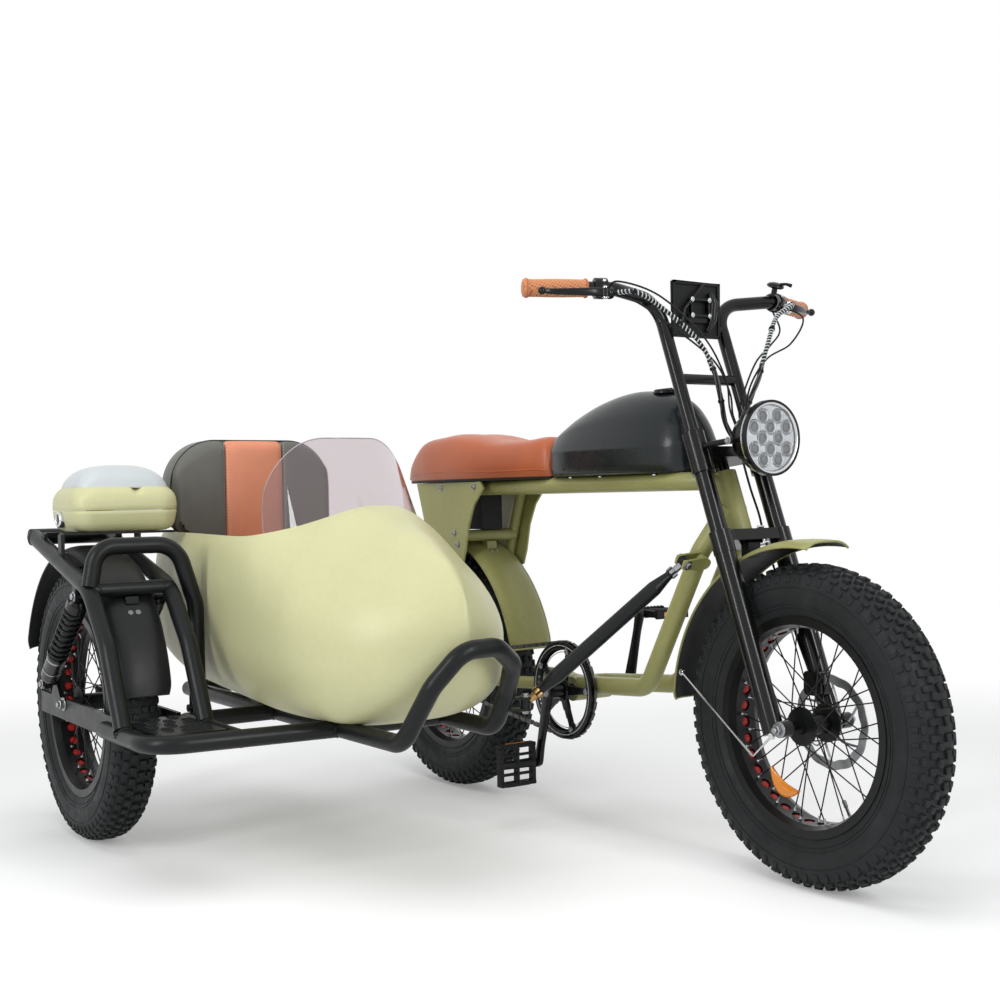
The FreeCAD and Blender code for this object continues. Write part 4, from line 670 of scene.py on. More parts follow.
def tank_section(x, low_half, high_half, top):
    """Half a section from the floor's edge up: an upright panel, a crease, the leaning side and the crown."""
    rise = top - TANK_CREASE
    lower = [(low_half * 0.80, TANK_BASE), (low_half * 0.90, TANK_BASE + 2.0),
             (low_half * 0.965, TANK_BASE + 9.0), (low_half * 0.985, TANK_BASE + 20.0),
             (low_half * 0.995, TANK_CREASE - 5.0), (low_half, TANK_CREASE - 0.8),
             (low_half * 0.994, TANK_CREASE + 0.8)]
    side = [(low_half * 0.975, TANK_CREASE + rise * 0.08)]
    for k in range(1, 9):
        t = k / 8
        side.append((low_half * 0.975 + (high_half - low_half * 0.975) * t ** 1.15,
                     TANK_CREASE + rise * (0.08 + 0.44 * t)))
    crown = []
    start = radians(40)
    for k in range(1, 13):
        a = start + (pi / 2 - start) * k / 12
        crown.append((high_half * cos(a) / cos(start) if k < 12 else 0.0,
                      TANK_CREASE + rise * (0.52 + 0.48 * (sin(a) - sin(start)) / (1 - sin(start)))))
    return [Vector((x, y, z)) for y, z in lower + side + crown]


def make_tank():
    """The tank's shell, dark discs along its lower edge as painted shade of holes, its feet and its cap."""
    form = Form()
    rows = []
    for row in even_rows(TANK_ROWS, 7):
        left = tank_section(*row)
        rows.append(left + [Vector((p.x, -p.y, p.z)) for p in reversed(left[:-1])])
    form.grid(rows, round_u=True, caps=True)
    form.build("tank_shell", "tank_black", "root", smooth=38, node="tank")
    hole_shade = Form()
    # small dark discs where the tank has holes: painted shade of the holes
    for side in (-1, 1):
        for x, half in ((596, 92.4), (654, 96.6), (712, 97.4), (770, 96.6), (828, 91.2)):
            hole_shade.lathe([(0, 2.6), (1.2, 2.4), (1.2, 0.0)],
                        (x, side * (half * 0.975), 792.0), Y_AXIS * side, 14)
    hole_shade.build("tank_hole_shade", "black_plastic", "root", smooth=50)
    feet = Form()
    for side in (-1, 1):
        for x in (584, 690, 870):
            feet.lathe([(0, 4.6), (1.4, 5.2), (2.6, 4.6), (2.6, 0.0)],
                       (x, side * 62.0, TANK_BASE - 2.0), -Z_AXIS, 16)
    feet.build("tank_feet", "chrome", "root", smooth=50)
    cap = Form()
    cap.lathe([(-3, 27.0), (1.0, 27.0), (3.0, 25.4), (5.4, 24.8), (6.4, 22.0), (6.6, 0.0)],
              (838.0, 0, 946.0), Z_AXIS, 64)
    cap.box((838.0, 0, 953.0), (38.0, 6.0, 3.4))
    cap.build("tank_cap", "black_gloss", "root", smooth=35, bevel=0.8)


make_tank()


# Backrest, sidecar seat and the pad on the box lid

BACK_FRONT = 1.5
BACK_REAR = -81.5
BACK_LOW = 402.0
BACK_TOP = 880.0
BACK_HALF = 202.0
BACK_ROUND = 108.0
STRIPE_HALF = 72.0


def back_outline(inset):
    """The backrest's outline in y and z, from the lower right corner up, round its head and down."""
    half, low, top, r = BACK_HALF - inset, BACK_LOW + inset, BACK_TOP - inset, BACK_ROUND - inset
    points = [(-half, low + (top - r - low) * k / 10) for k in range(10)]
    points += [(-half + r - r * cos(a), top - r + r * sin(a))
               for a in (pi / 2 * k / 25 for k in range(26))]
    points += [(-half + r + (half - r) * k / 12, top) for k in range(1, 12)] + [(0.0, top)]
    return points + [(-y, z) for y, z in reversed(points[:-1])]


def back_limit(y, z):
    """How far the lower part of the board has to stay inside the tub's walls."""
    if z > 676:
        return y
    room = 196.0 - 36.0 * min(max((z - 470) / 200, 0), 1) ** 1.6
    return max(-room, min(room, y))


def make_backrest():
    """The sidecar's backrest: a shell, three sewn panels, the stitching of their seams and a welt."""
    board = Form()
    rows = []
    for x, inset in ((BACK_REAR + 7, 20), (BACK_REAR + 1, 9), (BACK_REAR, 4), (BACK_REAR + 5, 0.6),
                     (BACK_REAR + 30, 0.0), (BACK_FRONT - 34, 0.0), (BACK_FRONT - 26, 0.8),
                     (BACK_FRONT - 24, 3.0), (BACK_FRONT - 20, 3.2)):
        rows.append([(x, TUB_Y + back_limit(y, z), z) for y, z in back_outline(inset)])
    board.grid(rows, round_u=True, caps=True)
    board.build("backrest_shell", "grey_leather", "root", "grey_leather", smooth=40, node="tub_backrest")
    for name, material, y0, y1 in (("backrest_right", "grey_leather", -BACK_HALF, -STRIPE_HALF),
                                   ("backrest_stripe", "stripe_leather", -STRIPE_HALF, STRIPE_HALF),
                                   ("backrest_left", "grey_leather", STRIPE_HALF, BACK_HALF)):
        make_back_panel(name, material, y0, y1)
    thread = Form()
    for y in (-STRIPE_HALF, STRIPE_HALF):
        for side in (-1, 1):
            for k in range(56):
                z = BACK_LOW + 66 + k * 7.3
                thread.tube([(BACK_FRONT + dx, TUB_Y + y + side * 4.6, z + dz)
                             for dx, dz in ((-6.2, 0.0), (-5.3, 2.2), (-6.2, 4.6))], 0.55, 5)
    thread.build("backrest_thread", "pad_grey", "root", smooth=60)
    welt = Form()
    welt.tube([(BACK_FRONT - 22, TUB_Y + back_limit(y, z), z) for y, z in back_outline(1.4)], 2.2, 8)
    welt.build("backrest_welt", "black_plastic", "root", smooth=60)


def make_back_panel(name, material, y0, y1):
    """One sewn panel of the front, crowned between its seams and rounded over at the board's edge."""
    form = Form()
    rows = []
    across = 22
    up = 40
    for i in range(across + 1):
        y = y0 + (y1 - y0) * i / across
        from_edge = BACK_HALF - abs(y)
        over = max(0.0, BACK_ROUND - from_edge)
        head = BACK_TOP - BACK_ROUND + sqrt(max(BACK_ROUND ** 2 - over * over, 0.0))
        seam = min(abs(y - y0) if abs(y0) < BACK_HALF - 1 else 999, abs(y - y1)
                   if abs(y1) < BACK_HALF - 1 else 999)
        row = []
        for j in range(up + 1):
            t = j / up
            z = BACK_LOW + 4 + (head - BACK_LOW - 5) * t
            edge = min(from_edge, head - z)
            drop = 21.0 * (1 - min(max(edge, 0.0), 20.0) / 20.0) ** 2.4
            tuck = 6.5 * exp(-(seam / 5.0) ** 2) + 1.2 * exp(-(seam / 26.0) ** 2)
            swell = 1.6 * sin(TAU * 0.5 * t) * min(seam, 40.0) / 40.0
            x = BACK_FRONT - 1.8 - drop - tuck + swell
            row.append((x, TUB_Y + back_limit(y, z), z))
        rows.append(row)
    form.grid(rows)
    front = len(form.v)
    form.grid([[(BACK_FRONT - 24, p[1], p[2]) for p in row] for row in rows])
    per = up + 1
    rim = list(range(per)) + [i * per + up for i in range(1, across + 1)]
    rim += [across * per + j for j in range(up - 1, -1, -1)] + [i * per for i in range(across - 1, 0, -1)]
    for k, a in enumerate(rim):
        b = rim[(k + 1) % len(rim)]
        form.f.append((a, b, b + front, a + front))
    piece = form.build(name, material, "root", smooth=70)


make_backrest()


BOX_MID = (0.0, -895.0)
PAD_HALF = (82.0, 103.0)
PAD_BASE = 769.0
PAD_TOP = 821.0
CUSHION_MID = (215.0, TUB_Y)
CUSHION_HALF = (203.0, 188.0)
CUSHION_BASE = 400.8
CUSHION_TOP = 489.0
CUSHION_CROWN = 16.0
CUSHION_EDGE = 16.0


def rounded_plan(mid, half, corner, steps):
    """A rounded rectangle's points (x, y), corner by corner."""
    return [(mid[0] + sx * (half[0] - corner) + corner * cos(a),
             mid[1] + sy * (half[1] - corner) + corner * sin(a))
            for sx, sy, start in ((1, 1, 0), (-1, 1, 90), (-1, -1, 180), (1, -1, 270))
            for a in (radians(start + 90 * k / steps) for k in range(steps + 1))]


def make_pad():
    """A dome over a rounded rectangle: steep at its base and almost flat in the middle."""
    rows = []
    for k in range(17):
        share = sin(pi / 2 * (1 - k / 16.6))
        z = PAD_BASE + (PAD_TOP - PAD_BASE) * (1 - share ** 3.1) ** 0.64
        half = [size * share for size in PAD_HALF]
        corner = min(half) * (0.44 + 0.2 * (1 - share))
        rows.append([(x, y, z) for x, y in rounded_plan(BOX_MID, half, corner, 10)])
    form = Form()
    form.grid(rows, round_u=True, caps=True)
    piece = form.build("lid_cushion", "pad_grey", "lid", "pad_grey", smooth=180, node="lid_pad")


def make_tub_cushion():
    """A rounded slab whose sides belly out, with a crowned top and two sewn grooves along it."""
    def plan(inset):
        return rounded_plan(CUSHION_MID, [size - inset for size in CUSHION_HALF], 52 - inset, 12)

    tall = CUSHION_TOP - CUSHION_CROWN - CUSHION_BASE
    rows = [[(x, y, CUSHION_BASE + tall * rise) for x, y in plan(CUSHION_EDGE * inset)]
            for inset, rise in ((0.5, 0.0), (0.16, 0.12), (0.0, 0.34), (0.0, 0.56), (0.25, 0.78), (0.8, 0.93),
                                (1.6, 1.0))]
    for t in (k / 12.5 for k in range(1, 13)):
        z = CUSHION_BASE + tall + CUSHION_CROWN * (1 - (1 - t) ** 2.2)
        rows.append([(x + (CUSHION_MID[0] - x) * t, y + (CUSHION_MID[1] - y) * t, z)
                     for x, y in plan(CUSHION_EDGE * 1.6)])
    for row in rows:
        row[:] = [(x, y, z - 6.0 * sum(exp(-((y - TUB_Y - seam) / 5.0) ** 2) for seam in (-62, 62))
                   if z > 440 else z) for x, y, z in row]
    form = Form()
    form.grid(rows, round_u=True, caps=True)
    piece = form.build("sidecar_cushion", "tan_leather", "root", "tan_leather", smooth=180, node="tub_seat")


make_pad()
make_tub_cushion()


# Headlight

LAMP_FACE = Vector((1147.0, 0, 837.0))
LED_SEATS = ((-19, 42), (19, 42), (-42, 21), (0, 21), (42, 21), (-21, 0), (21, 0), (-42, -21), (0, -21),
             (42, -21), (-19, -42), (19, -42))


def make_headlight():
    """The rim, its gasket, a plate of small reflectors with a dome in each, and two bolts."""
    rim = Form()
    rim.lathe([(-11, 66.0), (-11, 71.4), (-4.0, 71.4), (-1.4, 70.6), (-0.2, 68.6), (-0.2, 66.4), (-1.8, 64.4),
               (-5.0, 63.2)], LAMP_FACE, X_AXIS, 96, hollow=True)
    rim.lathe([(-12, 71.6), (-12, 73.0), (-8.2, 73.0), (-7.6, 72.2), (-8.2, 71.6)],
              LAMP_FACE, X_AXIS, 96, hollow=True)
    rim.build("headlight_rim", "chrome", "steering", smooth=50)
    gasket = Form()
    gasket.tube([LAMP_FACE + Vector((-11.5, 72.0 * cos(a), 72.0 * sin(a)))
                 for a in (TAU * k / 96 for k in range(96))], 1.0, 8, closed=True)
    gasket.build("headlight_gasket", "black_plastic", "steering", smooth=60)
    plate = Form()
    plate.lathe([(-9.4, 68.0), (-8.2, 67.6), (-7.9, 60.0), (-7.6, 0.0)], LAMP_FACE, X_AXIS, 72)
    for y, z in LED_SEATS:
        plate.lathe([(0.0, 15.4), (2.0, 14.9), (2.5, 13.9), (0.6, 10.6), (0.2, 9.4)],
                    LAMP_FACE + Vector((-7.8, y, z)), X_AXIS, 32)
    plate.build("headlight_reflectors", "mirror_cup", "steering", smooth=50)
    domes = Form()
    for y, z in LED_SEATS:
        domes.lathe([(0.0, 10.4), (1.2, 10.0), (2.8, 8.2), (3.9, 5.2), (4.4, 2.4), (4.5, 0.0)],
                    LAMP_FACE + Vector((-7.6, y, z)), X_AXIS, 30)
    domes.build("headlight_domes", "led_chip", "steering", smooth=70)
    bolts = Form()
    for side in (-1, 1):
        bolts.bolt(LAMP_FACE + Vector((-44, side * 75.2, -4)), Y_AXIS * side, 5.0, 5.0)
    bolts.build("headlight_bolts", "steel", "steering", smooth=35)


make_headlight()


# Tub

# What nose_table takes for the solid's nose, then for the drawn one
NOSE_TABLES = ((0.78, 4.5, 1.0, 1.0, 0.0, 1.02), (0.803, 3.11, 1.361, 0.744, 0.062, 1.073))
NOSE_STEPS = 12
NOSE_ARCH = 0.529
ARCH_START, ARCH_LENGTH = 425.0, 215.0
NOSE_START = 310.0
TUB_HALF = 232.0
WAIST = 0.42
LOW_POWER = 0.66


def nose_table(high_share, high_drop, wide_power, high_power, wide_cut, last):
    """Sections of the tub's front half: x, half its width, its low and high z, how square its top is."""
    rows = [(250.0, 0.99, 298.0, 745.0, LOW_POWER), (350.0, 1.0, 292.0, 735.0, LOW_POWER),
            (450.0, 1.0, 287.0, 726.0, LOW_POWER), (530.0, 0.99, 287.0, 722.0, LOW_POWER)]
    for step in range(9):
        turn = radians(min(11.0 * step, 87.0))
        c, s = cos(turn), sin(turn)
        drop = c ** high_power * (high_share + (1 - high_share) * exp(-high_drop * turn))
        rows.append((600.0 + 328.0 * s, 0.975 * c ** wide_power * (1 - wide_cut * s * c), 466.0 - 177.0 * c,
                     466.0 + 256.0 * drop, LOW_POWER + (last - LOW_POWER) * min(1.0, step / 4)))
    return even_rows(rows, NOSE_STEPS)[NOSE_STEPS:]


def at_x(table, x):
    """The row of the table at x, between its two nearest rows."""
    x = min(max(x, table[0][0]), table[-1][0] - 0.01)
    k = next(i for i in range(len(table) - 1) if x <= table[i + 1][0])
    t = (x - table[k][0]) / (table[k + 1][0] - table[k][0])
    return [a + (b - a) * t for a, b in zip(table[k], table[k + 1])]


def make_tub():
    """The tub's shell with the nose drawn in to a finer bow than the solid's."""
    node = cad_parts["tub"]
    old_table, new_table = (nose_table(*share) for share in NOSE_TABLES)
    form = Form()
    for vertex in node.data.vertices:
        p = (node.matrix_world @ vertex.co - SHIFT) * 1000
        if p.x > NOSE_START:
            _, wide, low, high, power = at_x(old_table, p.x)
            _, wide2, low2, high2, power2 = at_x(new_table, p.x)
            middle, middle2 = low + (high - low) * WAIST, low2 + (high2 - low2) * WAIST
            dy, dz = p.y - TUB_Y, p.z - middle
            tall, tall2 = (high - middle, high2 - middle2) if dz > 0 else (middle - low, middle2 - low2)
            if dz <= 0:
                power = power2 = LOW_POWER
            a, b = abs(dy) / (TUB_HALF * wide), abs(dz) / tall
            far = (a ** (2 / power) + b ** (2 / power)) ** (power / 2)
            turn = atan2(b ** (1 / power), a ** (1 / power))
            up = far * sin(turn) ** power2
            ease = min(1.0, max(0.0, (p.x - ARCH_START) / ARCH_LENGTH))
            arch = 1 - NOSE_ARCH * ease * ease * (3 - 2 * ease) * min(1.0, up) ** 2.08 if dz > 0 else 1.0
            across_y = TUB_HALF * wide2 * arch * far * cos(turn) ** power2
            p = Vector((p.x, TUB_Y + copysign(across_y, dy), middle2 + copysign(tall2 * up, dz)))
        form.v.append(p)
    form.f.extend(tuple(f.vertices) for f in node.data.polygons)
    return form.build("tub_shell", "pale_green", "root", smooth=38, node="tub")


TUB = make_tub()


# Windshield

SCREEN_R = 196.1
SCREEN_X = 364.9
SCREEN_TURN = radians(68.5)
SCREEN_LOW = 690.0
SCREEN_TOP = 862.7
SCREEN_TALL = 170.0
SCREEN_LEAN = 58.2 / SCREEN_TALL
SCREEN_TAPER = 0.135 / SCREEN_TALL
SCREEN_ROUND = (119.9, 148.8)
SCREEN_THICK = 3.0


def tub_surface():
    """Finds how high the tub's shell stands under a point."""
    tree = BVHTree.FromPolygons([TUB.matrix_world @ v.co for v in TUB.data.vertices],
                                [tuple(f.vertices) for f in TUB.data.polygons])

    def height(x, y, fallback):
        hit = tree.ray_cast(metres((x, y, 900.0)), -Z_AXIS)[0]
        if hit is None or hit.z * 1000 < fallback:
            return fallback
        return hit.z * 1000

    return height


def screen_point(turn, z, inward=0.0):
    """A point of the windshield, part of a cone that leans back and narrows upwards."""
    rise = z - SCREEN_LOW
    radius = SCREEN_R * (1 - SCREEN_TAPER * rise) - inward
    return Vector((SCREEN_X + radius * cos(turn) - SCREEN_LEAN * rise, TUB_Y + radius * sin(turn), z))


def make_windshield():
    """The clear sheet, which stands on the drawn tub, and its top edge as a pale tube: a painted highlight.
    """
    height = tub_surface()
    rows, rim = [], []
    half = SCREEN_R * sin(SCREEN_TURN)
    for k in range(73):
        t = SCREEN_TURN * (2 * k / 72 - 1)
        low = SCREEN_LOW
        for _ in range(5):
            base = screen_point(t, low)
            low = height(base.x, base.y, 664.0) + 0.5
        over = max(0.0, abs(SCREEN_R * sin(t)) - (half - SCREEN_ROUND[0])) / SCREEN_ROUND[0]
        top = SCREEN_TOP - SCREEN_ROUND[1] * (1 - max(0.0, 1 - over ** 2.16) ** (1 / 2.16))
        top = max(top, low + 1.0)
        rows.append([screen_point(t, low + (top - low) * j / 24, inward)
                     for inward, order in ((0.0, range(25)), (SCREEN_THICK, range(24, -1, -1)))
                     for j in order])
        rim.append(screen_point(t, top, SCREEN_THICK / 2))
    form = Form()
    form.grid(rows, round_u=True, caps=True)
    form.build("clear_screen", "acrylic", "root", smooth=50, node="windshield")
    edge = Form()
    # a pale tube along the sheet's top edge: the painted highlight of its polished edge
    edge.tube(rim, 1.5, 8)
    edge.build("screen_edge_highlight", "screen_edge_highlight", "root", smooth=80)


make_windshield()


# Crank set

BB = Vector((557.0, 0, 302.0))
CHAIN_Y = 67.0
CHAIN_PITCH = 12.7
TEETH = 52
CRANK_LEAN = radians(14.7)
CRANK_LEN = 165.0
CRANK_OUT = Vector((sin(CRANK_LEAN), 0, cos(CRANK_LEAN)))


def make_chainring():
    pitch_r = CHAIN_PITCH / (2 * sin(pi / TEETH))
    form = Form()
    rows = []
    inner_y, outer_y = -CHAIN_Y + 1.0, -CHAIN_Y - 1.0
    around = [TAU * k / (TEETH * 6) for k in range(TEETH * 6)]
    for inner_r, y in ((None, inner_y), (None, outer_y), (88.0, outer_y - 0.4), (88.0, inner_y)):
        rows.append([around_y(BB, a, inner_r or pitch_r - 4.9 + 7.4 * (0.5 + 0.5 * cos(TEETH * a)) ** 1.5, y)
                     for a in around])
    form.grid(rows, round_u=True, round_v=True)
    guard_y = -CHAIN_Y - 12.0
    form.lathe([(0, 106.6), (0, 92.0), (1.4, 90.6), (2.5, 92.0), (2.5, 107.4), (1.2, 108.2)],
               BB + Y_AXIS * guard_y, Y_AXIS, 128, hollow=True)
    for i in range(5):
        a = TAU * i / 5 + pi / 2 - CRANK_LEAN
        turn = frame_at(a)
        for r, width, thick, y in ((32, 21, 7.5, -75.5), (52, 17, 6.5, -75.0), (72, 15, 6.0, -74.0),
                                   (90, 17, 7.0, -73.0)):
            form.box(around_y(BB, a, r, y), (width, thick, 23), turn, 0.96)
    form.lathe([(0, 27.0), (-5, 27.0), (-9, 22.0), (-10, 17.2)], BB - Y_AXIS * 72.0, Y_AXIS, 44)
    form.build("chainring_set", "black_gloss", "crank", smooth=32, bevel=0.4, node="chainring")
    line = Form()
    line.tube(hoop(BB, 99.0, guard_y - 0.1, 128), 0.9, 6, closed=True)
    line.tube(hoop(BB, 84.0, outer_y - 0.6, 128), 1.0, 6, closed=True)
    line.build("chainring_line", "pad_grey", "crank", smooth=60)
    bolts = Form()
    for i in range(5):
        a = TAU * i / 5 + pi / 2 - CRANK_LEAN
        bolts.bolt(around_y(BB, a, 90.0, -80.0), -Y_AXIS, 5.0, 4.0, sides=20)
    bolts.build("chainring_bolts", "steel", "crank", smooth=40)


def make_cranks():
    form = Form()
    for side in (-1, 1):
        y = side * 115.0
        rows = []
        axis = CRANK_OUT * side
        cross = axis.cross(Y_AXIS)
        for k in range(21):
            t = k / 20
            along = -16 + (CRANK_LEN + 30) * t
            end = sqrt(max(0.0, 1 - max(0.0, (t - 0.90) / 0.10) ** 2)) if t > 0.90 else 1.0
            start = sqrt(max(0.0, 1 - max(0.0, (0.09 - t) / 0.09) ** 2)) if t < 0.09 else 1.0
            wide = (17.5 - 7.0 * min(t * 1.35, 1.0) + 3.5 * max(0.0, t - 0.72) / 0.28) * min(end, start) + 0.2
            thick = 6.6 * (0.92 + 0.08 * cos(TAU * t))
            row = []
            for j in range(20):
                a = TAU * j / 20
                row.append(BB + axis * along + cross * (wide * signed_power(cos(a), 0.7))
                           + Y_AXIS * (y + thick * signed_power(sin(a), 0.55)))
            rows.append(row)
        form.grid(rows, round_u=True, caps=True)
        at = BB + axis * CRANK_LEN
        form.lathe([(0, 7.4), (7.6, 7.4), (8.2, 5.0), (106, 5.0)], at + Y_AXIS * y, Y_AXIS * side, 20)
    form.lathe([(-115, 12.0), (115, 12.0)], BB, Y_AXIS, 28)
    form.lathe([(-122, 16.5), (-115, 17.2), (-84, 17.2), (-83.4, 16.0)], BB, Y_AXIS, 36)
    form.build("crank_arms", "black_gloss", "crank", smooth=40, node="cranks")
    caps = Form()
    for side in (-1, 1):
        caps.bolt(BB + Y_AXIS * (side * 121.2), Y_AXIS * side, 7.5, 3.0, sides=20)
    caps.build("crank_caps", "steel", "crank", smooth=40)


def make_pedal(side, body, node):
    """A resin pedal: cage bars with teeth, a core tube, and an amber reflector on each edge."""
    at = BB + CRANK_OUT * (side * CRANK_LEN) + Y_AXIS * (side * 127.0)
    turn = Quaternion(Y_AXIS, pi / 2) if side < 0 else Quaternion()
    form, amber = Form(), Form()

    def put(f, x, y, z, size, taper=1.0):
        f.box(at + turn @ Vector((x, 0, z)) + Y_AXIS * (side * y), size, turn, taper)

    for x in (-42.0, 42.0):
        put(form, x, 48, 0, (9.0, 92, 21.5))
        for k in range(9):
            put(form, x, 8 + k * 10, 11.2, (7.0, 4.6, 2.4), 0.7)
        for z in (-6.6, 6.6):
            put(form, x * 1.09, 48, z, (4.0, 60, 3.0))
        put(amber, x * 1.105, 48, 0, (1.8, 54, 9.5), 0.96)
    for y in (5.5, 48.0, 91.0):
        put(form, 0, y, 0, (78, 9.5 if y != 48.0 else 7.0, 15.5))
    for x in (-21.0, 21.0):
        put(form, x, 48, 0, (5.0, 84, 11.0))
    form.build(node + "_cage", "black_plastic", body, smooth=30, bevel=0.9, node=node)
    core = Form()
    core.lathe([(2, 9.0), (6, 10.5), (88, 8.8), (94, 7.0)], at, Y_AXIS * side, 24)
    core.build(node + "_core", "black_plastic", body, smooth=40)
    amber.build(node + "_reflectors", "amber", body, smooth=30, bevel=0.5)


make_chainring()
make_cranks()
make_pedal(-1, "pedal_right", "right_pedal")
make_pedal(1, "pedal_left", "left_pedal")


# Shock absorbers

SHOCK_TOP = (185.0, 545.0)
SHOCK_LOW = (-64.0, 340.0)
CAGE_YS = (-1033.8, -866.2)
SPRING_R = 19.0
SPRING_WIRE = 4.1
SPRING_TURNS = 8.5


def make_shocks():
    body, springs, rings = Form(), Form(), Form()
    for y in CAGE_YS:
        top, low = (Vector((x, y, z)) for x, z in (SHOCK_TOP, SHOCK_LOW))
        axis = (low - top).normalized()
        length = (low - top).length
        for eye in (top, low):
            body.lathe([(-8, 10.0), (-7, 11.0), (7, 11.0), (8, 10.0)], eye, Y_AXIS, 28)
        body.lathe([(6, 8), (12, 17), (16, 22), (40, 22), (43, 19), (44, 11.5), (length - 104, 11.5)], top,
                   axis, 36)
        body.lathe([(length - 118, 23.0), (length - 112, 23.5), (length - 104, 20.5), (length - 34, 20.0),
                    (length - 26, 17.0), (length - 10, 9.0)], top, axis, 36)
        rings.lathe([(length - 104, 21.3), (length - 98, 21.3)], top, axis, 36)
        rings.lathe([(length - 60, 20.6), (length - 56, 20.6)], top, axis, 36)
        first, last = 46.0, length - 120.0
        other = axis.cross(Y_AXIS).normalized()
        points = []
        count = int(SPRING_TURNS * 20)
        for k in range(count + 1):
            t = k / count
            a = TAU * SPRING_TURNS * t
            squeeze = 0.5 - 0.5 * cos(pi * t)
            along = first + (last - first) * (0.82 * t + 0.18 * squeeze)
            points.append(top + axis * along + (Y_AXIS * cos(a) + other * sin(a)) * SPRING_R)
        springs.tube(points, SPRING_WIRE, 10)
    body.build("shock_bodies", "black_gloss", "root", smooth=40, node="shocks")
    springs.build("shock_springs", "black_satin", "root", smooth=60)
    rings.build("shock_rings", "steel", "root", smooth=40)


make_shocks()


# Fasteners and small trim

def make_root_bolts():
    form = Form()
    for side in (-1, 1):
        for x, z in ((86, 760), (235, 760), (143, 647), (158, 620)):
            form.bolt((x, side * 93.2, z), Y_AXIS * side, 6.0, 5.0, sides=20)
    form.build("plate_bolts", "steel", "root", smooth=40)
    dark = Form()
    for y in CAGE_YS:
        for side in (-1, 1):
            dark.bolt((SHOCK_TOP[0], y + side * 13.4, SHOCK_TOP[1]), Y_AXIS * side, 7.5, 7.0)
        dark.bolt((SHOCK_LOW[0], y - 11.2, SHOCK_LOW[1]), -Y_AXIS, 7.0, 6.0)
    dark.build("shock_bolts", "steel", "root", smooth=35, bevel=0.4)


STRUT_HIGH = Vector((1001.0, -102.0, 600.0))
STRUT_LOW = Vector((866.0, -392.0, 336.0))
HIGH_BOLT = Vector((0.87, 0, -0.5)).normalized()


def make_strut_trim():
    axis = (STRUT_HIGH - STRUT_LOW).normalized()
    form, brass = Form(), Form()
    for at, way, metal in ((STRUT_HIGH, -axis, form), (STRUT_LOW, axis, brass)):
        metal.lathe([(26.5, 12.4), (36.5, 12.4), (38.0, 11.2)], at, way, 6)
        metal.lathe([(10, 7.2), (26, 7.2)], at, way, 18)
    for at, pin in ((STRUT_HIGH, HIGH_BOLT), (STRUT_LOW, Z_AXIS)):
        for side in (-1, 1):
            form.bolt(at + pin * (side * 13.5), pin * side, 7.0, 6.0)
    form.build("strut_bolts", "steel", "root", smooth=35, bevel=0.4)
    brass.build("strut_lock_nut", "brass", "root", smooth=35, bevel=0.4)


make_root_bolts()
make_strut_trim()


# Lines and threads

def spaced(points, step):
    """The smooth line through the points, with points at even distances along it."""
    pts = curve_points(points, 16)
    out = [pts[0]]
    left = step
    for a, b in zip(pts, pts[1:]):
        length = (b - a).length
        done = 0.0
        while length - done >= left:
            done += left
            out.append(a.lerp(b, done / length))
            left = step
        left -= length - done
    return out


def wound(line, radius, per, start=0.0):
    """A thread round a line of evenly spaced points; per is the count of points in one turn."""
    out = []
    normal = None
    for i, p in enumerate(line):
        ahead = (line[min(i + 1, len(line) - 1)] - line[max(i - 1, 0)]).normalized()
        normal = ahead.orthogonal() if normal is None else normal - ahead * normal.dot(ahead)
        normal.normalize()
        other = ahead.cross(normal)
        a = TAU * i / per + start
        out.append(p + normal * (radius * cos(a)) + other * (radius * sin(a)))
    return out


# Controls

BAR_END = Vector((863.1, -375.0, 1136.0))
BAR_ALONG = Vector((-0.4104, -0.9119, 0.0))


def across(p, side):
    """The point itself on the right side, its mirror image on the left."""
    return Vector((p[0], -p[1] * side, p[2]))


def make_grips():
    form, rings = Form(), Form()
    for side in (-1, 1):
        start = across(BAR_END - BAR_ALONG * 125.0, side)
        along = across(BAR_ALONG, side)
        profile = [(0, 14.0), (0.2, 17.4), (1.5, 18.4), (6, 18.4), (8, 17.2)]
        profile += [(8 + 106 * k / 16, 16.9 + 0.9 * sin(pi * k / 16)) for k in range(1, 16)]
        profile += [(116, 17.2), (118, 18.6), (124, 18.4), (127, 16.8), (128.6, 13.0), (129, 6.0), (129, 0)]
        form.lathe(profile, start, along, 40)
        for at in (4.0, 121.0):
            rings.lathe([(at - 1.4, 17.0), (at - 1.4, 19.0), (at, 19.4), (at + 1.4, 19.0),
                         (at + 1.4, 17.0)], start, along, 40)
    form.build("grip_sleeves", "grip", "steering", smooth=50, node="grips")
    rings.build("grip_rings", "tan_leather", "steering", smooth=50)


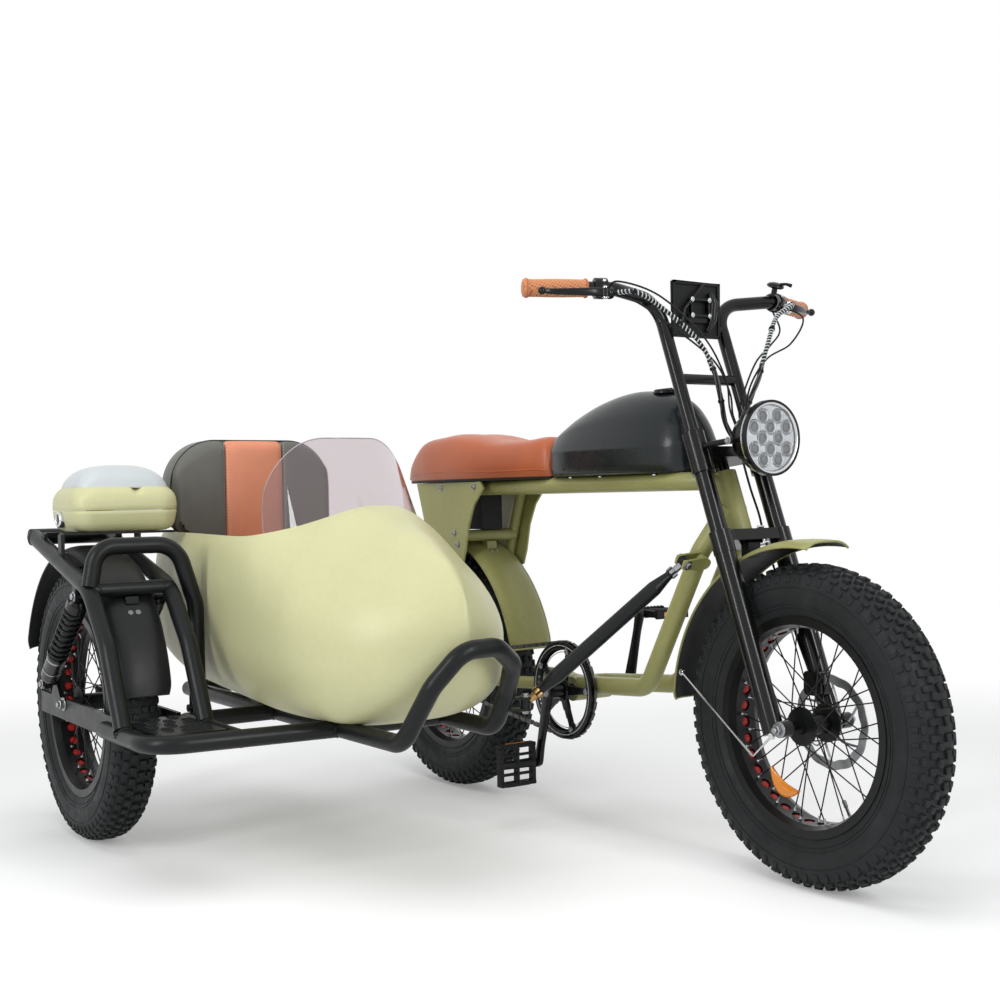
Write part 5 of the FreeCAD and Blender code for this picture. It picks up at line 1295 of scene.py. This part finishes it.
def make_levers():
    form, bolts = Form(), Form()
    for side in (-1, 1):
        along = across(BAR_ALONG, side)
        seat = across(BAR_END - BAR_ALONG * 151.0, side)
        form.lathe([(-13, 14.4), (-13, 19.5), (-11.5, 20.6), (11.5, 20.6), (13, 19.5), (13, 14.4)],
                   seat, along, 36, hollow=True)
        body = seat + Vector((20, 0, -12))
        form.tube([seat + Vector((6, 0, -4)), body], 9.0, 16)
        form.lathe([(-14, 6.0), (-13, 9.4), (-8, 11.4), (16, 11.6), (21, 10.0), (24, 6.0)], body, along, 32)
        form.lathe([(-22, 3.0), (-21, 4.4), (-14, 4.4)], body, along, 20)
        pivot = body + along * 10 + Vector((12, 0, 0))
        form.lathe([(-9, 8.0), (-8, 9.0), (8, 9.0), (9, 8.0)], pivot, Z_AXIS, 28)
        line = curve_points([pivot + along * reach + Vector(move) for reach, move in (
            (0, (0, 0, 0)), (28, (8, 0, 0)), (66, (9, 0, 0)), (104, (3, 0, 1)), (128, (6, 0, 2)))], 8)
        tip = line[-1]
        rows = []
        for k, p in enumerate(line):
            t = k / (len(line) - 1)
            ahead = (line[min(k + 1, len(line) - 1)] - line[max(k - 1, 0)]).normalized()
            out = ahead.cross(Z_AXIS).normalized()
            wide = 4.4 + 1.2 * sin(pi * min(1.0, t * 1.3)) - 1.0 * t
            tall = 9.4 - 4.6 * t
            rows.append([p + out * (wide * signed_power(cos(a), 0.8))
                         + Z_AXIS * (tall * signed_power(sin(a), 0.8))
                         for a in (TAU * j / 20 for j in range(20))])
        form.grid(rows, round_u=True, caps=True)
        ball = [(-8.0 * cos(a), max(0.2, 8.0 * sin(a))) for a in (pi * k / 12 for k in range(13))]
        form.lathe(ball, tip, along, 24)
        for lift in (-1, 1):
            bolts.bolt(pivot + Z_AXIS * (lift * 9.0), Z_AXIS * lift, 4.6, 3.6, sides=20)
        bolts.bolt(seat + Vector((14.0, 0, 13.0)), Vector((0.6, 0, 0.8)), 3.8, 3.4, sides=20)
    form.build("lever_sets", "black_gloss", "steering", smooth=42, bevel=0.5, node="brake_levers")
    bolts.build("lever_bolts", "chrome", "steering", smooth=40)


def make_bell():
    """The small domed control on its clamp, inboard of the left lever."""
    along = across(BAR_ALONG, 1)
    seat = across(BAR_END - BAR_ALONG * 173.0, 1)
    form = Form()
    form.lathe([(-6, 14.4), (-6, 18.4), (6, 18.4), (6, 14.4)], seat, along, 32, hollow=True)
    form.tube([seat + Vector((4, 0, 12)), seat + Vector((9, 0, 31))], 6.0, 16)
    form.lathe([(0, 15.0), (3.0, 18.6), (6.0, 18.0), (9.4, 14.0), (11.4, 8.0), (12.0, 0.0)],
               seat + Vector((9, 0, 29)), Vector((0.35, 0, 0.94)), 40)
    form.tube([seat + Vector(p) for p in ((24, 0, 34), (35, 6, 34), (42, 16, 30))], [3.4, 3.0, 4.2], 12)
    form.build("bell_control", "black_gloss", "steering", smooth=45, bevel=0.4)


CABLE_ROUTE = [(961.3, -226.4, 1124.0), (1002, -206.4, 1120), (1012, -150, 1090), (1046, -88, 1022),
               (1052, -52, 948), (1040, -26, 884), (1046, -12, 846), (1064, -12, 841)]
THIN_CABLES = [
    # side, and the points as for the right side
    (-1, [(948, -238, 1128), (992, -246, 1140), (1030, -176, 1112), (1058, -92, 1036), (1066, -44, 956),
          (1060, -28, 896), (1071, -18, 852)]),
    (-1, [(952, -216, 1120), (986, -190, 1102), (1016, -124, 1052), (1052, -60, 990), (1058, -26, 930),
          (1056, -16, 884), (1071, -8, 846)]),
    (1, [(950, -232, 1126), (1004, -236, 1094), (1034, -168, 1036), (1050, -84, 1000), (1058, -30, 944),
         (1056, -18, 886), (1071, -16, 848)]),
    (1, [(944, -206, 1118), (980, -192, 1070), (1016, -128, 1032), (1052, -52, 992), (1060, -10, 930),
         (1054, -2, 884), (1071, -4, 842)]),
]


def make_cables():
    core, wrap, bundle = Form(), Form(), Form()
    for side in (-1, 1):
        line = spaced([across(p, side) for p in CABLE_ROUTE], 0.9)
        part = int(len(line) * 0.62)
        core.tube(line[::4], 4.0, 14)
        wrap.tube(wound(line[4:part], 4.1, 9), 1.35, 6)
        for turn in (0.0, 2.1, 4.2):
            bundle.tube(wound(line[part - 20:-6:5], 3.4, 44, turn), 2.2, 8)
    for side, points in THIN_CABLES:
        core.tube(curve_points([across(p, side) for p in points], 10), 1.9, 8)
    core.build("control_cables", "black_plastic", "steering", smooth=60, node="cables")
    wrap.build("cable_spiral", "pad_grey", "steering", smooth=60)
    bundle.build("cable_bundle", "chain_steel", "steering", smooth=60)
    ties = Form()
    for side in (-1, 1):
        line = spaced([across(p, side) for p in CABLE_ROUTE], 4.0)
        for share in (0.10, 0.36, 0.62, 0.78):
            at = int(len(line) * share)
            ties.lathe([(-2, 5.2), (-2, 6.6), (2, 6.6), (2, 5.2)], line[at], line[at + 1] - line[at - 1], 16,
                       hollow=True)
    ties.build("cable_ties", "black_plastic", "steering", smooth=40)


def make_brake_hose():
    """The hose from the lamp's back down the left fork leg to its caliper."""
    form = Form()
    points = [(1052, 10, 800), (1046, 36, 742), (1046, 58, 690), (1058, 62, 640), (1100, 62, 540),
              (1142, 60, 450), (1172, 58, 392)]
    form.tube(curve_points(points, 10), 2.3, 10)
    form.build("front_brake_hose", "black_plastic", "steering", smooth=60)


def make_display():
    """A thin square holder on a clamp, seen from its back: a frame, a strap and the clamp's jaw."""
    x = 946.0
    form = Form()
    form.box((x, -12.0, 1104.0), (7.0, 124.0, 112.0))
    form.box((x + 5.0, -12.0, 1157.0), (4.0, 124.0, 6.0))
    form.box((x + 5.0, -12.0, 1051.0), (4.0, 124.0, 6.0))
    for y in (-71.0, 47.0):
        form.box((x + 5.0, y, 1104.0), (4.0, 6.0, 112.0))
    form.build("display_holder", "black_plastic", "steering", smooth=30, bevel=1.4, node="display_plate")
    clamp = Form()
    for z in (1092.0, 1124.0):
        clamp.box((x + 11.0, -8.0, z), (8.0, 52.0, 6.0))
    for y in (-31.0, 15.0):
        clamp.box((x + 11.0, y, 1108.0), (8.0, 6.0, 38.0))
    clamp.box((x + 7.0, -8.0, 1086.0), (6.0, 58.0, 18.0))
    clamp.tube([(x + 9, -58, 1070), (x + 12, -50, 1104), (x + 12, -10, 1144), (x + 8, 6, 1158)], 3.6, 12)
    clamp.tube([(x + 9, 22, 1140), (x + 13, 28, 1118), (x + 13, 24, 1084), (x + 9, 12, 1060)], [5, 9, 8, 4],
               14)
    for y in (-30.0, 14.0):
        clamp.lathe([(-7, 11.0), (-7, 15.0), (7, 15.0), (7, 11.0)],
                    (927.2, y, 1068.0), Y_AXIS, 32, hollow=True)
        clamp.box((938.0, y, 1071.0), (14.0, 12.0, 14.0))
    clamp.build("display_clamp", "black_gloss", "steering", smooth=38, bevel=1.0)
    bolts = Form()
    for y, z in ((-31.0, 1124.0), (15.0, 1124.0), (-31.0, 1092.0), (15.0, 1092.0)):
        bolts.bolt((x + 15.0, y, z), X_AXIS, 3.2, 2.6, sides=20)
    bolts.build("display_bolts", "chrome", "steering", smooth=40)


make_grips()
make_levers()
make_bell()
make_cables()
make_brake_hose()
make_display()


# Tail box

BOX_HALF = (100.0, 120.0)
BOX_CORNER = 45.0
HINGE = (-104.0, BOX_MID[1], 721.3)
NOTCH_Y = -874.0
NOTCH_HALF = 13.0


def box_ring(inset, rounding, z, notch_depth=0.0):
    """The box's outline at height z; every ring has its points at the same shares of its sides."""
    plan = rounded_plan(BOX_MID, [size - inset for size in BOX_HALF],
                        max(BOX_CORNER - inset * rounding, 1.0), 12)
    pts = [Vector((x, y, z)) for x, y in plan]
    out = []
    for i, p in enumerate(pts):
        out.append(p)
        if i % 13 == 12:
            out.extend(p.lerp(pts[(i + 1) % len(pts)], k / 24) for k in range(1, 24))
    for p in out:
        near = 1 - abs(p.y - NOTCH_Y) / NOTCH_HALF
        if p.x > BOX_MID[0] and near > 0:
            p.z -= notch_depth * min(1.0, 1.6 * near)
    return out


def make_tail_box():
    body = Form()
    outer = [(676.0, 40), (675.2, 30), (676.0, 22), (679.5, 14), (685.0, 8.5), (692.0, 5.2), (702.0, 2.8),
             (712.0, 1.2), (719.5, 0.5), (720.7, 1.2)]
    inner = [(720.7, 3.6), (716.0, 4.6), (702.0, 6.8), (690.0, 10.0), (684.0, 15.0),
             (680.5, 24.0), (680.0, 40.0)]
    body.grid([box_ring(d, 0.55, z) for z, d in outer + inner], round_u=True, caps=True)
    body.build("tail_box_body", "pale_green", "root", smooth=50, node="tail_box")
    lid = Form()
    inner = [(770.0, 60.0), (770.0, 30.0), (767.0, 20.0), (758.0, 11.0), (746.0, 6.6),
             (732.0, 4.6), (722.4, 4.0)]
    outer = [(721.7, 2.6), (721.7, 1.0), (723.0, 0.2), (731.0, 0.0), (741.0, 0.4), (749.0, 1.7), (756.5, 4.6),
             (763.0, 9.0), (768.6, 14.4), (773.2, 19.6), (775.6, 23.6), (776.6, 30.0), (776.9, 60.0)]
    lid.grid([box_ring(d, 0.5, z, 11.0 * max(0.0, min(1.0, (z - 756) / 12)) if 8 < d < 31 else 0.0)
              for z, d in inner + outer], round_u=True, caps=True)
    lid.build("tail_box_lid", "pale_green", "lid", smooth=50, node="box_lid")
    hinge = Form()
    hinge.lathe([(-30, 1.6), (-29.8, 4.0), (-20.2, 4.0), (-20, 3.4)], HINGE, Y_AXIS, 20)
    hinge.lathe([(20, 3.4), (20.2, 4.0), (29.8, 4.0), (30, 1.6)], HINGE, Y_AXIS, 20)
    for y in (-920.0, -870.0):
        hinge.box((-100.5, y, 711.0), (5.0, 10.0, 14.0))
    hinge.build("box_hinge_body", "black_gloss", "root", smooth=40)
    moving = Form()
    moving.lathe([(-19.6, 3.4), (-19.4, 4.0), (19.4, 4.0), (19.6, 3.4)], HINGE, Y_AXIS, 20)
    moving.box((-100.5, -895.0, 730.0), (5.0, 39.0, 12.0))
    moving.build("box_hinge_lid", "black_gloss", "lid", smooth=40)


def make_box_lock():
    at = Vector((-6.0, -1012.0, 702.0))
    ring = Form()
    ring.lathe([(-2, 18.0), (5.0, 18.0), (9.0, 16.8), (10.2, 14.4), (9.0, 12.3), (4.0, 11.8)], at,
               -Y_AXIS, 48, hollow=True)
    ring.build("box_lock_ring", "chrome", "root", smooth=60)
    face = Form()
    face.lathe([(-2, 12.0), (6.2, 12.0), (7.4, 10.6), (7.4, 0)], at, -Y_AXIS, 40)
    face.lathe([(7.2, 6.2), (9.2, 5.8), (9.2, 0)], at, -Y_AXIS, 30)
    face.build("box_lock_barrel", "black_gloss", "root", smooth=40)
    key = Form()
    key.box(at + Vector((0, -9.3, 0)), (1.6, 0.8, 7.0))
    key.build("box_lock_keyway", "steel", "root", smooth=30)


make_tail_box()
make_box_lock()


# Front mudguard stay and brackets

def make_front_stay():
    form = Form()
    for side in (-1, 1):
        y = side * 60.0
        end = Vector((1226.0, side * 96.0, 287.0))
        vertex = Vector((1164.0, side * 84.0, 241.0))
        top = Vector((941.0, y, 375.0))
        form.tube([top, top.lerp(vertex, 0.5), vertex + Vector((-4, 0, 2)), vertex + Vector((3, 0, 1)),
                   vertex.lerp(end, 0.6), end], 2.1, 10)
        form.lathe([(-3.5, 5.2), (-3.0, 6.0), (3.0, 6.0), (3.5, 5.2)], top, Y_AXIS, 20)
        form.lathe([(-3.0, 6.0), (3.0, 6.0)], end, Y_AXIS, 20)
    form.build("front_guard_stay", "chrome", "steering", smooth=50)


def make_crown_bracket():
    form = Form()
    form.box((1086.0, 20.0, 652.0), (3.0, 17.0, 34.0), Quaternion(Y_AXIS, 0.2))
    form.box((1094.0, 20.0, 636.0), (20.0, 17.0, 3.0), Quaternion(Y_AXIS, -0.15))
    form.bolt((1088.0, 20.0, 655.0), X_AXIS, 5.0, 4.6)
    form.bolt((1096.0, 20.0, 638.0), Z_AXIS, 4.6, 4.2)
    form.build("crown_bracket", "chrome", "steering", smooth=35, bevel=0.5)


make_front_stay()
make_crown_bracket()


# Mudguards

GUARDS = (
    # label, wheel centre, radius, half width, the two end angles, flare of its first end, body, finish
    ("front", FRONT_AXLE, 345.0, 56.0, (83.0, 177.0), 5.0, "steering", "olive"),
    ("rear", REAR_AXLE, 352.0, 60.0, (12.0, 165.0), 0.0, "root", "olive"),
    ("sidecar", SIDE_AXLE, 345.0, 55.0, (8.0, 163.0), 0.0, "root", "guard_black"),
)
GUARD_DROP = 14.0
GUARD_WALL = 2.5


def guard_section(half, radius, inset):
    """Points (y, r) across a crowned guard, from its right edge to its left."""
    return [((half - inset) * s, radius - inset - (GUARD_DROP - inset * 0.9) * abs(s) ** 3.6)
            for s in (sin(pi / 2 * (k / 14 - 1)) for k in range(29))]


def drawn_in(points, centre, depth):
    """The points moved towards the wheel's axle."""
    return [p + (Vector((centre.x, p.y, centre.z)) - p).normalized() * depth for p in points]


def make_guard(label, centre, radius, half, angles, flare, body, finish):
    skin, shade_sheet, edge = Form(), Form(), Form()
    outer, under, rims = [], [], ([], [])
    for share in (i / 110 for i in range(111)):
        angle = radians(angles[0] + (angles[1] - angles[0]) * share)
        near_end = max(0.0, 1 - share / 0.03, 1 - (1 - share) / 0.03)
        wide = half * (1 - 0.10 * near_end ** 2) + flare * max(0.0, 1 - share / 0.16) ** 1.6
        section = guard_section(wide, radius, 0.0)
        outer.append([around_y(centre, angle, r, y) for y, r in section])
        under.append([around_y(centre, angle, r, y) for y, r in guard_section(wide, radius, GUARD_WALL)])
        for rim, (y, r) in zip(rims, (section[0], section[-1])):
            rim.append(around_y(centre, angle, r + 0.6, y * (wide - 1.4) / wide))
    skin.grid([a + b[::-1] for a, b in zip(outer, under)], round_u=True, caps=True)
    # a dark sheet just inside the guard's underside: painted shade
    shade_sheet.grid([drawn_in(row[2:-2], centre, 0.5) for row in under])
    for rim in rims:
        edge.tube(rim, 2.3, 10)
    for rows in (outer[0], outer[-1]):
        edge.tube(drawn_in(rows, centre, 1.2), 2.2, 10)
    skin.build(label + "_guard", finish, body, smooth=60, node=label + "_fender")
    shade_sheet.build(label + "_guard_shade_sheet", "black_plastic", body, smooth=60)
    edge.build(label + "_guard_edge", finish, body, smooth=60)


def make_guard_brackets():
    """The tab that carries each guard, and two screws in each of the rear and sidecar tabs."""
    for label, at, size, body, finish in (
            ("front", Vector((1081.6, 0, 622.0)), (22.0, 32.0, 31.0), "steering", "black_satin"),
            ("rear", Vector((158.0, 0, 616.5)), (24.0, 28.0, 20.4), "root", "olive"),
            ("sidecar", Vector((250.0, -SIDE_TRACK, 536.0)), (24.0, 28.0, 16.4), "root", "black_satin")):
        form = Form()
        form.box(at, size)
        form.build(label + "_guard_tab", finish, body, smooth=30, bevel=1.6)
    screws = Form()
    for side in (-1, 1):
        screws.bolt((180.0, side * 8.0, 602.4), Vector((0.51, 0, 0.86)), 3.6, 3.0, sides=20)
        screws.bolt((272.0, -SIDE_TRACK + side * 8.0, 512.1), Vector((0.79, 0, 0.615)), 3.6, 3.0, sides=20)
    screws.build("guard_screws", "steel", "root", smooth=40)


for guard_row in GUARDS:
    make_guard(*guard_row)
make_guard_brackets()


# Step, welds and tube ends

RAIL_Z = 287.0
RAIL_R = 17.5
CAGE_X, CAGE_Z, CAGE_R = 250.0, 560.0, 15.5
RACK_TUBE = Vector((-140.0, 0, 664.0))
RACK_TUBE_R = 18.1


def make_step_pads():
    """Raised grip pads on the step, in staggered rows."""
    form = Form()
    for i, x in enumerate((378.0, 424.0, 470.0, 516.0, 558.0)):
        for j in range(3):
            y = -990.0 + j * 38.0 + (14.0 if i % 2 else 0.0)
            if x > 540 and y < -975:
                continue
            form.box((x, y, RAIL_Z + RAIL_R + 0.9), (34.0, 17.0, 2.0), None, 0.86)
            for k in range(5):
                form.box((x - 12.0 + 6.0 * k, y, RAIL_Z + RAIL_R + 2.2), (2.2, 12.5, 1.0), None, 0.8)
    form.build("step_pads", "black_plastic", "root", smooth=30, bevel=0.7)


def weld(form, base, along, big_axis, r, big_r):
    """A rippled bead where a tube of radius r, leaving base along its axis, meets a tube of radius big_r."""
    along = Vector(along).normalized()
    big_axis = Vector(big_axis).normalized()
    side = big_axis.cross(along).normalized()
    up = along.cross(side)
    out = (along - big_axis * along.dot(big_axis)).normalized()
    points = []
    radii = []
    for k in range(60):
        a = TAU * k / 60
        over = r * sin(a)
        big = sqrt(max(big_r * big_r - over * over, 0.0)) + 0.4
        reach = (big - r * cos(a) * up.dot(out)) / along.dot(out)
        points.append(Vector(base) + up * (r * cos(a)) + side * over + along * reach)
        radii.append(2.1 * (0.86 + 0.22 * sin(a * 17)))
    form.tube(points, radii, 8, closed=True)


def make_welds():
    form = Form()
    for y, way in ((CAGE_YS[0], 1), (CAGE_YS[1], -1)):
        weld(form, (CAGE_X, y, CAGE_Z), Y_AXIS * way, (-0.96, 0, 0.26), CAGE_R, RAIL_R)
        weld(form, (RACK_TUBE.x, y, RACK_TUBE.z), (0.966, 0, -0.26), Y_AXIS, RAIL_R, RACK_TUBE_R)
        weld(form, (438.5, y, RAIL_Z), (-0.469, 0, 0.883), X_AXIS, RAIL_R, RAIL_R)
    for x in (328.0, 620.0):
        weld(form, (x, -665.0, RAIL_Z), -Y_AXIS, X_AXIS, RAIL_R - 0.6, RAIL_R)
        weld(form, (x, -430.0, RAIL_Z), Y_AXIS, X_AXIS, RAIL_R - 0.6, RAIL_R)
    form.build("chassis_welds", "black_satin", "root", smooth=70)


def make_rack_caps():
    form = Form()
    for y, way in ((-1041.8, -1), (-854.2, 1)):
        form.lathe([(-0.5, 16.6), (1.2, 17.4), (2.6, 16.8), (3.6, 14.0), (3.8, 0.0)],
                   (RACK_TUBE.x, y, RACK_TUBE.z), Y_AXIS * way, 40)
    form.build("tube_caps", "black_plastic", "root", smooth=50)


make_step_pads()
make_welds()
make_rack_caps()


# Stage and light

FLOOR_HALF = 14.0
FLOOR_NEAR = 1.5
FLOOR_FAR = 3.2
FLOOR_COLOUR = (0.86, 0.86, 0.86, 1)
FLOOR_GLOW = 0.22
WHITE = (1, 1, 1, 1)


def seen_by_eye(tree):
    """1 for rays from the camera, through glass or off a mirror, 0 for light that falls on things."""
    path = add_node(tree, "LightPath").outputs
    seen = add_node(tree, "Math", [path["Is Camera Ray"], path["Is Transmission Ray"]], operation="MAXIMUM")
    return add_node(tree, "Math", [seen.outputs[0], path["Is Glossy Ray"]], operation="MAXIMUM").outputs[0]


def make_stage():
    """A grey floor that takes the shadow, glows a little, and fades to white far away."""
    mesh = bpy.data.meshes.new("floor")
    mesh.from_pydata([(-FLOOR_HALF, -FLOOR_HALF, 0), (FLOOR_HALF, -FLOOR_HALF, 0),
                      (FLOOR_HALF, FLOOR_HALF, 0), (-FLOOR_HALF, FLOOR_HALF, 0)], [], [(0, 1, 2, 3)])
    floor = bpy.data.objects.new("floor", mesh)
    bpy.context.scene.collection.objects.link(floor)
    mat = bpy.data.materials.new("floor")
    mat.use_nodes = True
    tree = mat.node_tree
    tree.nodes.clear()
    seen = seen_by_eye(tree)
    glow_strength = add_node(tree, "Math", [seen], {1: FLOOR_GLOW}, "MULTIPLY").outputs[0]
    diffuse = add_node(tree, "BsdfDiffuse", values={"Color": FLOOR_COLOUR})
    glow = add_node(tree, "Emission", {"Strength": glow_strength}, {"Color": WHITE})
    near = add_node(tree, "AddShader", [diffuse.outputs[0], glow.outputs[0]])
    far = add_node(tree, "Emission", values={"Color": WHITE})
    reach = add_node(tree, "VectorMath", [add_node(tree, "TexCoord").outputs["Object"]], operation="LENGTH")
    fade = add_node(tree, "MapRange", {"Value": reach.outputs["Value"]},
                    {"From Min": FLOOR_NEAR, "From Max": FLOOR_FAR})
    fade.interpolation_type = "SMOOTHSTEP"
    shown = add_node(tree, "Math", [fade.outputs["Result"], seen], operation="MULTIPLY")
    blend = add_node(tree, "MixShader", [shown.outputs[0], near.outputs[0], far.outputs[0]])
    add_node(tree, "OutputMaterial", {"Surface": blend.outputs[0]})
    mesh.materials.append(mat)


def make_world():
    """White behind everything, and a dimmer, cooler light from all round."""
    world = bpy.data.worlds.new("studio")
    bpy.context.scene.world = world
    world.use_nodes = True
    tree = world.node_tree
    tree.nodes.clear()
    light = add_node(tree, "Background", values={"Color": (0.96, 0.98, 1.0, 1), "Strength": 0.36})
    seen = add_node(tree, "Background", values={"Color": WHITE, "Strength": 1.0})
    mix = add_node(tree, "MixShader", [seen_by_eye(tree), light.outputs[0], seen.outputs[0]])
    add_node(tree, "OutputWorld", {"Surface": mix.outputs[0]})


def softbox(name, at, look, size, power, mirrored=True):
    data = bpy.data.lights.new(name, "AREA")
    data.shape = "RECTANGLE"
    data.size, data.size_y = size
    data.energy = power
    lamp = bpy.data.objects.new(name, data)
    bpy.context.scene.collection.objects.link(lamp)
    lamp.location = metres(at)
    lamp.visible_glossy = mirrored
    lamp.visible_transmission = False
    lamp.rotation_mode = "QUATERNION"
    lamp.rotation_quaternion = (metres(at) - metres(look)).to_track_quat("Z", "Y")


make_stage()
make_world()
MIDDLE = (600, -350, 450)
softbox("overhead", (900, -900, 3300), MIDDLE, (2.4, 2.4), 46, mirrored=False)
softbox("front_left", (1350, -3700, 1900), MIDDLE, (0.5, 2.2), 46)
softbox("front_right", (4300, 100, 2000), MIDDLE, (0.45, 2.0), 44)
softbox("behind", (-2200, 1900, 1900), MIDDLE, (1.6, 2.2), 22, mirrored=False)

bpy.context.scene.view_settings.view_transform = "Standard"
